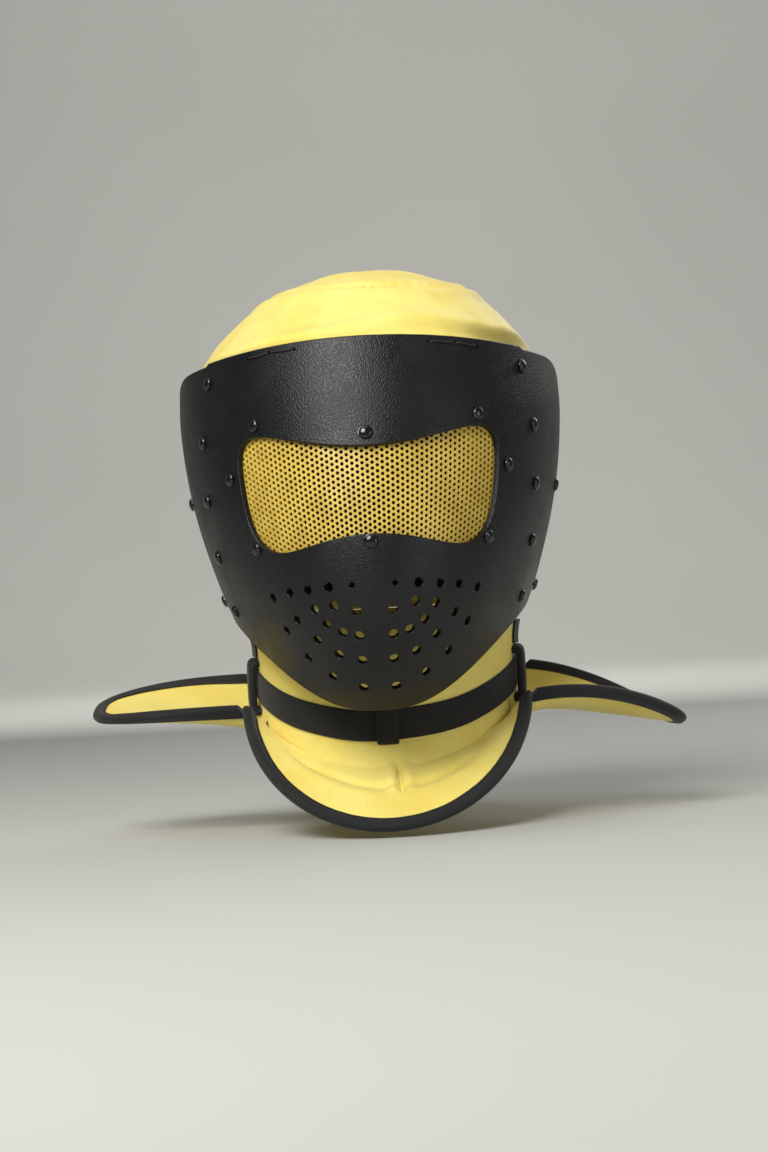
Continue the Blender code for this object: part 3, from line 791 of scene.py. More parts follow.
def copied_on_points(
    name: str,
    tile: bpy.types.Object,
    places: Sequence[tuple[Vector, Vector, Vector]],
    material: bpy.types.Material,
) -> bpy.types.Object:
    """Copies of a small body on points, by a Geometry Nodes tree.

    Args:
        name: the object's name.
        tile: the body, Z outwards and X along the row. It is removed.
        places: a point, its outward normal and its direction along, for each.
        material: the copies' finish.

    Returns:
        The object.
    """
    mesh = bpy.data.meshes.new(name)
    mesh.from_pydata([tuple(point) for point, _, _ in places], [], [])
    for label, which in (("outward", 1), ("forward", 2)):
        layer = mesh.attributes.new(label, "FLOAT_VECTOR", "POINT")
        layer.data.foreach_set("vector", [part for row in places for part in row[which]])
    tree = NodeTree(f"{name}_rows")
    body = tree.input("Body", "Object")
    finish = tree.input("Material", "Material")
    ways = [
        tree.node("GeometryNodeInputNamedAttribute", {"data_type": "FLOAT_VECTOR"}, {0: label})
        for label in ("outward", "forward")
    ]
    outward = tree.node("FunctionNodeAlignRotationToVector", {"axis": "Z"}, {"Vector": ways[0]})
    turn = tree.node(
        "FunctionNodeAlignRotationToVector",
        {"axis": "X", "pivot_axis": "Z"},
        {"Rotation": outward, "Vector": ways[1]},
    )
    points = tree.node("GeometryNodeMeshToPoints", inputs={0: tree.source.outputs[0]})
    shape = tree.node("GeometryNodeObjectInfo", inputs={"Object": body}, output="Geometry")
    copies = tree.node(
        "GeometryNodeInstanceOnPoints",
        inputs={"Points": points, "Instance": shape, "Rotation": turn},
    )
    tree.close(copies, finish)
    made = tree.run(link(name, mesh), Body=tile, Material=material)
    made.data.shade_smooth()
    discard(tile)
    return made


def stitch_row(
    path: Sequence[Vector], normals: Sequence[Vector], pitch: float
) -> list[tuple[Vector, Vector, Vector]]:
    """Places of stitches at an even pitch along a path.

    Args:
        path: points of the seam.
        normals: the outward normal at each.
        pitch: distance between stitches.

    Returns:
        A point, its outward normal and its direction along, for each stitch.
    """
    places, travelled, due = [], 0.0, pitch / 2
    for start, end, normal in zip(path, path[1:], normals):
        step = (end - start).length
        while step and due <= travelled + step:
            point = start.lerp(end, (due - travelled) / step)
            places.append((point, normal.normalized(), (end - start).normalized()))
            due += pitch
        travelled += step
    return places


def stitch_body(length: float, radius: float) -> bpy.types.Object:
    """One stitch: a short thread that dips at both ends."""
    path = [
        Vector((length * (share - 0.5), 0, radius * (0.9 - 2.2 * (2 * share - 1) ** 2)))
        for share in spaced(0, 1, 4)
    ]
    return swept("stitch", path, lambda _: Vector((0, 1, 0)), lambda _: radius, radius, 2.0, 6)


# Forms that the solids have too


@dataclass(frozen=True)
class ShieldForm:
    """The moulded shield's surface."""

    width: float = 255 * MM
    height: float = 234 * MM
    depth: float = 200 * MM
    sheet: float = 3.5 * MM
    drop: float = 33 * MM
    rear: float = 45 * MM
    top_fall: float = 12.5 * MM
    top_step: float = 1.5 * MM
    step_angle: float = math.radians(53)
    step_soft: float = 0.012
    top_corner: tuple = (16 * MM, 80 * MM)
    bottom_corner: tuple = (12 * MM, 40 * MM)
    side_rise: float = 60 * MM
    edge_power: float = 2.8
    window: tuple = (160.5 * MM, 54 * MM, 129.5 * MM)
    window_spread: tuple = (24 * MM, 35.5 * MM)
    window_power: tuple = (4.0, 2.5)
    sections: tuple = (
        (0.000, 0.988, 0.850),
        (0.080, 0.995, 0.880),
        (0.200, 1.000, 0.923),
        (0.360, 0.971, 0.970),
        (0.500, 0.918, 0.997),
        (0.640, 0.842, 1.000),
        (0.730, 0.780, 0.985),
        (0.790, 0.733, 0.960),
        (0.850, 0.683, 0.920),
        (0.930, 0.615, 0.855),
        (1.000, 0.549, 0.775),
    )

    def size(self, height: float) -> tuple[float, float]:
        """Half width and depth at a height."""
        _, width, depth = smooth_row(self.sections, (-self.drop - height) / self.height)
        return width * self.width / 2, depth * self.depth

    def plan(self, turn: float, height: float, inset: float = 0.0) -> Vector:
        """A point of the plan at a height, with its sizes inset."""
        half, depth = self.size(height)
        across = (half - inset) * math.sin(turn)
        return Vector((across, self.rear - (depth - inset) * math.cos(turn), height))

    def normal(self, turn: float, height: float) -> Vector:
        """The outward normal."""
        step = 0.5 * MM
        across = self.plan(turn + 0.01, height) - self.plan(turn - 0.01, height)
        down = self.plan(turn, height - step) - self.plan(turn, height + step)
        return down.cross(across).normalized()

    def point(self, turn: float, height: float, out: float = 0.0) -> Vector:
        """A point of the outer face, moved out along the normal."""
        return self.plan(turn, height) + self.normal(turn, height) * out

    def level(self, down: float) -> float:
        """Height of a share of the way from the top down."""
        return -self.drop - down * self.height

    def top(self, turn: float) -> float:
        """Height of the top edge."""
        height = -self.drop - self.top_fall * math.sin(turn) ** 2
        past_step = abs(turn) - self.step_angle
        height -= self.top_step * smooth(past_step, -self.step_soft, self.step_soft)
        return height - self.top_corner[0] * self._corner(turn, self.top_corner[1])

    def bottom(self, turn: float) -> float:
        """Height of the bottom edge."""
        rise = self.side_rise * abs(math.sin(turn)) ** self.edge_power
        rise += self.bottom_corner[0] * self._corner(turn, self.bottom_corner[1])
        return -self.drop - self.height + rise

    def _corner(self, turn: float, length: float) -> float:
        """Share of a rear corner's rounding at a turn."""
        ahead = max(math.pi / 2 - abs(turn), 0.0) * self.depth
        return max(1 - ahead / length, 0.0) ** 2

    def window_turn(self) -> float:
        """Turn from the front to the window's side."""
        half, _ = self.size(-self.window[2])
        return math.asin(self.window[0] / 2 / half)

    def window_edges(self, share: float) -> tuple[float, float]:
        """Heights of the window's lower and upper edge at a share of its half width."""
        share = min(abs(share), 1.0)
        heights = []
        for spread, power in zip(self.window_spread, self.window_power):
            reach = self.window[1] / 2 + spread * share**2
            heights.append(reach * (1 - share**power) ** (1 / power))
        return -self.window[2] - heights[1], -self.window[2] + heights[0]

    def window_rim(self, count: int) -> list[tuple[float, float]]:
        """Turn and height round the window's rim, anticlockwise from the left."""
        shares = eased(-1, 1, count)
        low = [(share, self.window_edges(share)[0]) for share in shares]
        high = [(share, self.window_edges(share)[1]) for share in shares[::-1]]
        return [(share * self.window_turn(), height) for share, height in low[:-1] + high[:-1]]


def smooth_row(rows: Sequence[Sequence[float]], at: float) -> list[float]:
    """Reads a table between its rows, smoothly, by its first column.

    Args:
        rows: the table.
        at: the value of the first column.

    Returns:
        The row there.
    """
    at = min(max(at, rows[0][0]), rows[-1][0])
    low = max(index for index in range(len(rows) - 1) if rows[index][0] <= at)
    span = rows[low + 1][0] - rows[low][0]
    part = (at - rows[low][0]) / span
    rise, leave, arrive = (
        3 * part**2 - 2 * part**3,
        (part**3 - 2 * part**2 + part) * span,
        (part**3 - part**2) * span,
    )
    before, after = rows[max(low - 1, 0)], rows[min(low + 2, len(rows) - 1)]
    start, end = rows[low], rows[low + 1]
    values = [at]
    for column in range(1, len(start)):
        first = (end[column] - before[column]) / (end[0] - before[0])
        last = (after[column] - start[column]) / (after[0] - start[0])
        value = start[column] * (1 - rise) + end[column] * rise
        values.append(value + first * leave + last * arrive)
    return values


@dataclass(frozen=True)
class CollarForm:
    """The neck wall's plan and the strap's line round it."""

    half_width: float = 86 * MM
    front: float = 82 * MM
    back: float = 84 * MM
    middle: float = 20 * MM
    shift: float = 2 * MM
    wall: float = 8 * MM
    flare: float = 6 * MM
    top_height: float = -205.3 * MM
    sill_dip: float = 10 * MM
    strap_drop: float = 244.5 * MM
    strap_fall: float = 34 * MM
    strap_rise: float = 17 * MM
    strap_width: float = 20 * MM
    strap_margin: float = 11 * MM

    def plan(self, turn: float, out: float = 0.0) -> Vector:
        """A plan point of the wall's outer face, moved out along its normal."""
        depth = self.front if math.cos(turn) > 0 else self.back
        normal = Vector((depth * math.sin(turn), -self.half_width * math.cos(turn), 0))
        across = self.shift + self.half_width * math.sin(turn)
        base = Vector((across, self.middle - depth * math.cos(turn), 0))
        return base + normal.normalized() * out

    def at(self, turn: float, height: float, out: float = 0.0) -> Vector:
        """A point of the wall at a height."""
        point = self.plan(turn, out)
        point.z = height
        return point

    def strap(self, turn: float) -> float:
        """Height of the strap's middle line."""
        ahead = math.cos(turn)
        level = (self.strap_fall + self.strap_rise) / 2 * ahead
        return -self.strap_drop - level - (self.strap_fall - self.strap_rise) / 2 * ahead**2

    def axes(self, turn: float) -> tuple[Vector, Vector, Vector]:
        """The plan's point at a turn, its outward normal and the way round."""
        base = self.plan(turn)
        out = (self.plan(turn, 1.0) - base).normalized()
        return base, out, Vector((-out.y, out.x, 0))

    def top(self, turn: float) -> float:
        """Height of the wall's top edge."""
        return self.top_height - self.sill_dip * max(math.cos(turn), 0.0) ** 2

    def zone(self, turn: float) -> float:
        """Height above which the wall flares out."""
        return self.strap(turn) + self.strap_width / 2 + self.strap_margin

    def bottom(self, turn: float) -> float:
        """Height of the wall's bottom edge."""
        return self.strap(turn) - self.strap_width / 2 - self.strap_margin

    def flared(self, turn: float, height: float) -> float:
        """How far the wall stands out at a height."""
        share = max(height - self.zone(turn), 0.0) / (self.top(turn) - self.zone(turn))
        return self.flare * share * (share + 1 / 3) * 0.75


@dataclass(frozen=True)
class LobeForm:
    """One lobe of the collar, from its root at the neck to its outer edge."""

    collar: CollarForm
    start: float
    end: float
    tip: Vector
    power: float
    droop: float = 0.0
    twist: float = 0.0
    corner_reach: float = 16 * MM
    corner_drop: float = 253.6 * MM
    corner_tilt: float = 0.22
    span: float = 0.993
    binding: float = 10 * MM
    binding_share: float = 0.6
    binding_thickness: float = 7.5 * MM
    thickness: float = 6.3 * MM

    def corner(self, turn: float) -> Vector:
        """A corner where the outlines of two lobes meet."""
        corner = self.collar.plan(turn, self.corner_reach)
        corner.z = -self.corner_drop + self.corner_tilt * (corner.y - self.collar.middle)
        return corner

    def root(self, across: float) -> Vector:
        """A point of the root, just below the neck wall."""
        turn = self.start + (self.end - self.start) * (across + 1) / 2
        root = self.collar.plan(turn, -self.collar.wall / 2)
        root.z = self.collar.bottom(turn) - self.binding_thickness / 2 - 0.3 * MM
        return root

    def outline(self, across: float) -> Vector:
        """A point of the outer edge, from one corner round the tip."""
        start, end = self.corner(self.start), self.corner(self.end)
        angle = across * math.pi / 2
        side = signed_power(math.sin(angle), 2 / self.power)
        reach = abs(math.cos(angle)) ** (2 / self.power)
        point = (start + end) / 2 + (end - start) / 2 * side + self.tip * reach
        point.z -= self.droop * reach**2 + self.twist * side * reach
        return point

    def line(self, across: float) -> tuple[Vector, Vector, Vector, float]:
        """The lobe's section at a place across.

        Args:
            across: -1 at the first corner to 1 at the last.

        Returns:
            The root, the edge, the upward normal and the binding's width there.
        """
        root, edge = self.root(across), self.outline(across)
        rise = (edge.z - root.z) / (edge.xy - root.xy).length
        root.z -= max(rise, 0.0) * self.collar.wall
        step = 0.005
        along = self.outline(across + step) - self.outline(across - step)
        inward = root - edge
        normal = along.cross(inward)
        slant = normal.length / along.length / inward.length
        band = min(self.binding / slant, self.binding_share * inward.length)
        normal.normalize()
        return root, edge, normal if normal.z > 0 else -normal, band


# Sub-assemblies


@dataclass
class FaceShield:
    """The moulded shield with its eye sheet, rivets and lacing."""

    form: ShieldForm
    palette: Palette
    rim: float = 0.9 * MM
    vent: float = 3.0 * MM
    small_vent: float = 1.7 * MM
    lace_hole: float = 1.1 * MM
    visor_sheet: float = 1.2 * MM
    visor_gap: float = 0.6 * MM
    visor_margin: float = 16 * MM
    hole_pitch: float = 3.7 * MM
    hole_radius: float = 1.2 * MM
    rivet_head: tuple = (4.5 * MM, 2.4 * MM)
    rivet_tail: tuple = (3.5 * MM, 1.5 * MM)
    vents: tuple = (
        (0.081, 0.660), (0.170, 0.662), (0.256, 0.667), (0.335, 0.671), (0.423, 0.683),
        (0.073, 0.727), (0.160, 0.711), (0.244, 0.718), (0.333, 0.745), (0.404, 0.772),
        (0.204, 0.759), (0.141, 0.783), (0.073, 0.794), (0.263, 0.800), (0.176, 0.841),
        (0.335, 0.847), (0.073, 0.859), (0.233, 0.900), (0.083, 0.933),
    )
    window_rivets: tuple = (
        (0.0, 1.30), (-0.81, 1.65), (0.81, 1.65), (-1.09, 0.46), (1.09, 0.46),
        (-0.956, -1.20), (0.956, -1.20), (0.0, -1.18),
    )
    side_rivets: tuple = (
        (0.580, 0.090), (0.630, 0.250), (0.664, 0.410), (0.706, 0.565), (0.745, 0.717),
        (0.900, 0.409), (0.940, 0.687),
    )
    laces: tuple = ((0.388, 0.041), (0.306, 0.030), (0.216, 0.026))

    def build(self) -> list[bpy.types.Object]:
        """Builds and dresses every piece of the shield."""
        made = [self.shell(), self.visor(), self.rivets()]
        return made + [self.lacing(side) for side in Side]

    def shell(self) -> bpy.types.Object:
        """The moulded sheet, cut and with rounded rims."""
        form = self.form
        turns = spaced(-math.pi / 2, math.pi / 2, 141)
        turns += [
            side.value * (form.step_angle + share * form.step_soft)
            for side in Side for share in (-1.0, -0.5, 0.0, 0.5, 1.0)
        ]
        columns = []
        for turn in sorted(turns):
            top, bottom = form.top(turn), form.bottom(turn)
            columns.append([form.point(turn, height) for height in spaced(top, bottom, 64)])
        shell = lofted("face_shield_shell", columns)
        add(shell, "SOLIDIFY", thickness=form.sheet, offset=-1.0)
        add(shell, "BEVEL", width=1.1 * MM, segments=3, angle_limit=math.radians(50))
        cutters = [self._window_cutter(), self._hole_cutter()]
        for cutter in cutters:
            add(shell, "BOOLEAN", operation="DIFFERENCE", solver="EXACT", object=cutter)
        settled(shell)
        discard(*cutters)
        self._smooth_faces(shell.data)
        shell.data.materials.clear()
        return piece(shell, Slot.PLASTIC, "face_shield", finish=self.palette.plastic)

    def _smooth_faces(self, mesh: bpy.types.Mesh) -> None:
        """Gives the sheet's faces the form's own normals, so that no cut shades them."""
        shaded(mesh, 32)
        least_match = 0.985
        normals = [tuple(corner.vector) for corner in mesh.corner_normals]
        known: dict[int, Vector] = {}
        for face in mesh.polygons:
            for loop in face.loop_indices:
                index = mesh.loops[loop].vertex_index
                if index not in known:
                    place = mesh.vertices[index].co
                    half, depth = self.form.size(place.z)
                    turn = math.atan2(place.x / half, (self.form.rear - place.y) / depth)
                    known[index] = self.form.normal(turn, place.z)
                match = known[index].dot(face.normal)
                if abs(match) > least_match:
                    normals[loop] = tuple(known[index] * math.copysign(1.0, match))
        mesh.normals_split_custom_set(normals)

    def _window_cutter(self) -> bpy.types.Object:
        """The window's cutter, wider at the outer face so that its rim is rounded."""
        form = self.form
        rim = form.window_rim(64)
        half, _ = form.size(-form.window[2])
        flat = [Vector((turn * half, height)) for turn, height in rim]
        ways = []
        for index in range(len(flat)):
            along = flat[(index + 1) % len(flat)] - flat[index - 1]
            ways.append(Vector((along.y, -along.x)).normalized())
        layers = [(4 * MM, 2.2 * self.rim), (0.0, self.rim)]
        layers += [
            (-self.rim * (1 - math.cos(angle)), self.rim * (1 - math.sin(angle)))
            for angle in spaced(0.35, math.pi / 2, 4)
        ]
        layers.append((-3 * form.sheet, 0.0))
        count = len(rim)
        mesh = bpy.data.meshes.new("window_cutter")
        with edited(mesh) as builder:
            rings = []
            for out, grow in layers:
                moved = [point + way * grow for point, way in zip(flat, ways)]
                places = [form.point(point.x / half, point.y, out) for point in moved]
                rings.append([builder.verts.new(place) for place in places])
            for above, below in zip(rings, rings[1:]):
                for index in range(count):
                    after = (index + 1) % count
                    builder.faces.new((above[index], above[after], below[after], below[index]))
            for ring in (rings[0], rings[-1]):
                for index in range(count // 2):
                    corners = (ring[index], ring[index + 1], ring[-index - 1], ring[-index])
                    corners = list(dict.fromkeys(corners))
                    if len(corners) > 2:
                        builder.faces.new(corners)
            bmesh.ops.recalc_face_normals(builder, faces=builder.faces)
            bmesh.ops.triangulate(builder, faces=builder.faces)
        return link("window_cutter", mesh)

    def _hole_cutter(self) -> bpy.types.Object:
        """Cutters of the vents and lace holes, flared at the outer face."""
        form = self.form
        groups = (
            (self.vent, self.vents[1:]), (self.small_vent, self.vents[:1]),
            (self.lace_hole, self.laces),
        )
        made = []
        for radius, rows in groups:
            places = [
                self._on_shield(*spot)
                for row in rows for side in Side for spot in self._spots([row], side)
            ]
            flare = min(0.55 * MM, radius / 3)
            profile = [(radius + 2.5 * flare, 2 * MM), (radius + flare, 0.02 * MM)]
            profile += [
                (radius + flare * (1 - math.sin(angle)), -flare * (1 - math.cos(angle)))
                for angle in spaced(0.5, math.pi / 2, 3)
            ]
            profile.append((radius, -3 * form.sheet))
            made.append(turned("holes", profile, 20, places))
        with edited(made[0].data) as builder:
            for thing in made[1:]:
                builder.from_mesh(thing.data)
        discard(*made[1:])
        return made[0]

    def _spots(
        self, rows: Sequence[tuple[float, float]], side: Side
    ) -> list[tuple[float, float]]:
        """Turns and heights of spots on a side.

        Args:
            rows: for each, its shares of the way to the rear edge and of the way down.
            side: the side.

        Returns:
            The turn and the height of each.
        """
        quarter = math.pi / 2
        return [(side.value * share * quarter, self.form.level(down)) for share, down in rows]

    def _on_shield(self, turn: float, height: float) -> Matrix:
        """A matrix on the outer face, with its Z axis outwards."""
        return facing(self.form.point(turn, height), self.form.normal(turn, height))

    def visor(self) -> bpy.types.Object:
        """The perforated sheet behind the window."""
        form = self.form
        half, _ = form.size(-form.window[2])
        edges = [form.window_edges(share) for share in spaced(0, 1, 21)]
        top = max(high for _, high in edges) + self.visor_margin
        bottom = min(low for low, _ in edges) - self.visor_margin / 2
        reach = form.window_turn() * half + 1.35 * self.visor_margin
        middle, half_height = (top + bottom) / 2, (top - bottom) / 2
        patch = (reach - 19 * MM, half_height - 9 * MM)
        sheet = self._perforated(middle, patch)
        builder = bmesh.new()
        builder.from_mesh(sheet.data)
        discard(sheet)
        for plane, way in ((-patch[0], -1), (patch[0], 1)):
            self._trim(builder, Vector((plane, 0, 0)), Vector((way, 0, 0)))
        for plane, way in ((middle - patch[1], -1), (middle + patch[1], 1)):
            self._trim(builder, Vector((0, plane, 0)), Vector((0, way, 0)))
        self._border(builder, middle, patch, (reach, half_height))
        depth = -form.sheet - self.visor_gap
        for vert in builder.verts:
            vert.co = form.point(vert.co.x / half, vert.co.y, depth)
        mesh = bpy.data.meshes.new("visor_perforated_sheet")
        builder.to_mesh(mesh)
        builder.free()
        visor = link("visor_perforated_sheet", mesh)
        add(visor, "SOLIDIFY", thickness=self.visor_sheet, offset=-1.0)
        settled(visor)
        shaded(visor.data)
        visor.data.materials.clear()
        return piece(visor, Slot.PAINT, "visor_sheet", finish=self.palette.paint)

    def _trim(self, builder: bmesh.types.BMesh, point: Vector, normal: Vector) -> None:
        """Cuts away what lies past a plane."""
        everything = builder.verts[:] + builder.edges[:] + builder.faces[:]
        bmesh.ops.bisect_plane(
            builder, geom=everything, plane_co=point, plane_no=normal, clear_outer=True
        )

    def _perforated(self, middle: float, patch: tuple[float, float]) -> bpy.types.Object:
        """A flat patch of hexagonal tiles, each with a round hole, by a node tree."""
        pitch = self.hole_pitch
        corner = pitch / math.sqrt(3)
        rim, hole, count = [], [], 12
        for step in range(count):
            angle = step * math.pi / 6
            far = corner if step % 2 == 0 else corner * math.cos(math.pi / 6)
            for ring, radius in ((rim, far), (hole, self.hole_radius)):
                ring.append((radius * math.cos(angle), radius * math.sin(angle), 0.0))
        faces = [
            (step, (step + 1) % count, (step + 1) % count + count, step + count)
            for step in range(count)
        ]
        tile_mesh = bpy.data.meshes.new("tile")
        tile_mesh.from_pydata(rim + hole, [], faces)
        tile = link("tile", tile_mesh)
        column_step = 1.5 * corner
        columns = 2 * (int(patch[0] / column_step / 2) + 1) + 1
        rows = 2 * (int(patch[1] / pitch) + 1) + 1
        tree = NodeTree("perforations")
        body = tree.input("Tile", "Object")
        step_in = tree.input("Pitch", "Float")
        columns_in = tree.input("Columns", "Int")
        rows_in = tree.input("Rows", "Int")
        finish = tree.input("Material", "Material")

        def math_node(operation: str, first: object, second: object) -> bpy.types.NodeSocket:
            """Adds a Math node to the tree."""
            return tree.node("ShaderNodeMath", {"operation": operation}, {0: first, 1: second})

        pair = math_node("MULTIPLY", step_in, math.sqrt(3))
        wide = math_node("MULTIPLY", pair, math_node("SUBTRACT", columns_in, 1.0))
        tall = math_node("MULTIPLY", step_in, math_node("SUBTRACT", rows_in, 1.0))
        grid = tree.node(
            "GeometryNodeMeshGrid",
            inputs={
                "Size X": wide, "Size Y": tall, "Vertices X": columns_in, "Vertices Y": rows_in,
            },
        )
        shift = tree.node(
            "ShaderNodeCombineXYZ",
            inputs={0: math_node("MULTIPLY", pair, 0.5), 1: math_node("MULTIPLY", step_in, 0.5)},
        )
        beside = tree.node("GeometryNodeTransform", inputs={0: grid, "Translation": shift})
        join = tree.tree.nodes.new("GeometryNodeJoinGeometry")
        for part in (grid, beside):
            tree.tree.links.new(part, join.inputs[0])
        points = tree.node("GeometryNodeMeshToPoints", inputs={0: join.outputs[0]})
        shape = tree.node("GeometryNodeObjectInfo", inputs={"Object": body}, output="Geometry")
        copies = tree.node(
            "GeometryNodeInstanceOnPoints", inputs={"Points": points, "Instance": shape}
        )
        real = tree.node("GeometryNodeRealizeInstances", inputs={0: copies})
        merged = tree.node(
            "GeometryNodeMergeByDistance", inputs={0: real, "Distance": 0.02 * MM}
        )
        tree.close(merged, finish)
        sheet = tree.run(
            link("perforated_sheet", bpy.data.meshes.new("perforated_sheet")),
            Tile=tile, Pitch=pitch, Columns=columns, Rows=rows, Material=self.palette.paint,
        )
        sheet.data.transform(Matrix.Translation((0, middle, 0)))
        discard(tile)
        return sheet

    def _border(
        self,
        builder: bmesh.types.BMesh,
        middle: float,
        patch: tuple[float, float],
        reach: tuple[float, float],
    ) -> None:
        """Adds the plain border from the patch out to the rounded outline."""
        rings: list[list[bmesh.types.BMVert]] = []
        count, steps, power = 96, 4, 7.0
        for index in range(count):
            angle = 2 * math.pi * index / count
            way = (math.cos(angle), math.sin(angle))
            box = 1 / max(abs(way[0]) / patch[0], abs(way[1]) / patch[1])
            spread = sum(abs(part / size) ** power for part, size in zip(way, reach))
            far = spread ** (-1 / power)
            reaches = [box + (far - box) * part for part in spaced(0, 1, steps + 1)]
            places = [(way[0] * out, middle + way[1] * out, 0) for out in reaches]
            rings.append([builder.verts.new(place) for place in places])
        for index in range(count):
            here, after = rings[index], rings[(index + 1) % count]
            for step in range(steps):
                builder.faces.new((here[step], here[step + 1], after[step + 1], after[step]))

    def rivets(self) -> bpy.types.Object:
        """Every rivet: eight round the window and seven on each side."""
        form = self.form
        head, height = self.rivet_head
        lip, base, shank, tip = 0.5 * MM, 0.3 * MM, 1.7 * MM, 0.01 * MM
        crown = head - 0.35 * MM
        dome = [(tip, base + height)]
        dome += [
            (crown * math.sin(angle), base + lip + (height - lip) * math.cos(angle))
            for angle in spaced(0.24, math.pi / 2, 6)
        ]
        dome += [(head, base + lip * 0.8), (head, base)]
        grip = form.sheet + 2.4 * MM
        tail, tall = self.rivet_tail
        stem = [(shank, base), (shank, -grip), (tail, -grip), (tail, -grip - tall * 0.6)]
        stem += [(tail * 0.6, -grip - tall), (tip, -grip - tall)]
        body = turned("rivet", dome + stem, 20, [Matrix.Identity(4)])
        places = []
        turn = form.window_turn()
        spots = [(share * turn, -form.window[2] + up * form.window[1] / 2)
                 for share, up in self.window_rivets]
        for side in Side:
            spots += self._spots(self.side_rivets, side)
        for angle, level in spots:
            normal = form.normal(angle, level)
            places.append((form.point(angle, level), normal, UP))
        made = copied_on_points("shield_rivets", body, places, self.palette.enamel)
        made.data.set_sharp_from_angle(angle=math.radians(38))
        nodes = [f"window_rivet_{number}" for number in range(1, 9)]
        nodes += [
            f"side_rivet_{side.label}_{number}" for side in Side for number in range(1, 8)
        ]
        return piece(made, Slot.ENAMEL, *nodes)

    def lacing(self, side: Side) -> bpy.types.Object:
        """The thread laced through three holes near the top edge."""
        spots = self._spots(self.laces, side)
        path, steps = [], 15
        for (turn, level), (next_turn, next_level) in zip(spots, spots[1:]):
            for share in spaced(0, 1, steps):
                out = -3.2 * MM + 4.0 * MM * min(math.sin(math.pi * share) * 3.2, 1.0)
                wave = 0.25 * MM * math.sin(share * 9 + side.value)
                angle = turn + (next_turn - turn) * share
                height = level + (next_level - level) * share + wave
                path.append(self.form.point(angle, height, out))
        del path[steps]
        lace = swept(
            f"lacing_{side.label}", path, lambda _: UP,
            lambda _: 0.55 * MM, 0.55 * MM, 2.0, 10,
        )
        return piece(lace, Slot.WEBBING, finish=self.palette.thread)


def piece(
    thing: bpy.types.Object,
    slot: Slot,
    *nodes: str,
    finish: bpy.types.Material | None = None,
    fill: float | None = None,
) -> bpy.types.Object:
    """Gives a piece its material, hangs it under the root body and hides the CAD nodes that it
    stands for.

    Args:
        thing: the piece.
        slot: the record's slot that it belongs to; not used.
        nodes: CAD nodes that it stands for.
        finish: its material, where it has none yet.
        fill: how full its padding is, for a padded piece; not used.

    Returns:
        The piece.
    """
    if finish is not None:
        thing.data.materials.append(finish)
    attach(thing, "root")
    if nodes:
        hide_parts(*nodes)
    return thing


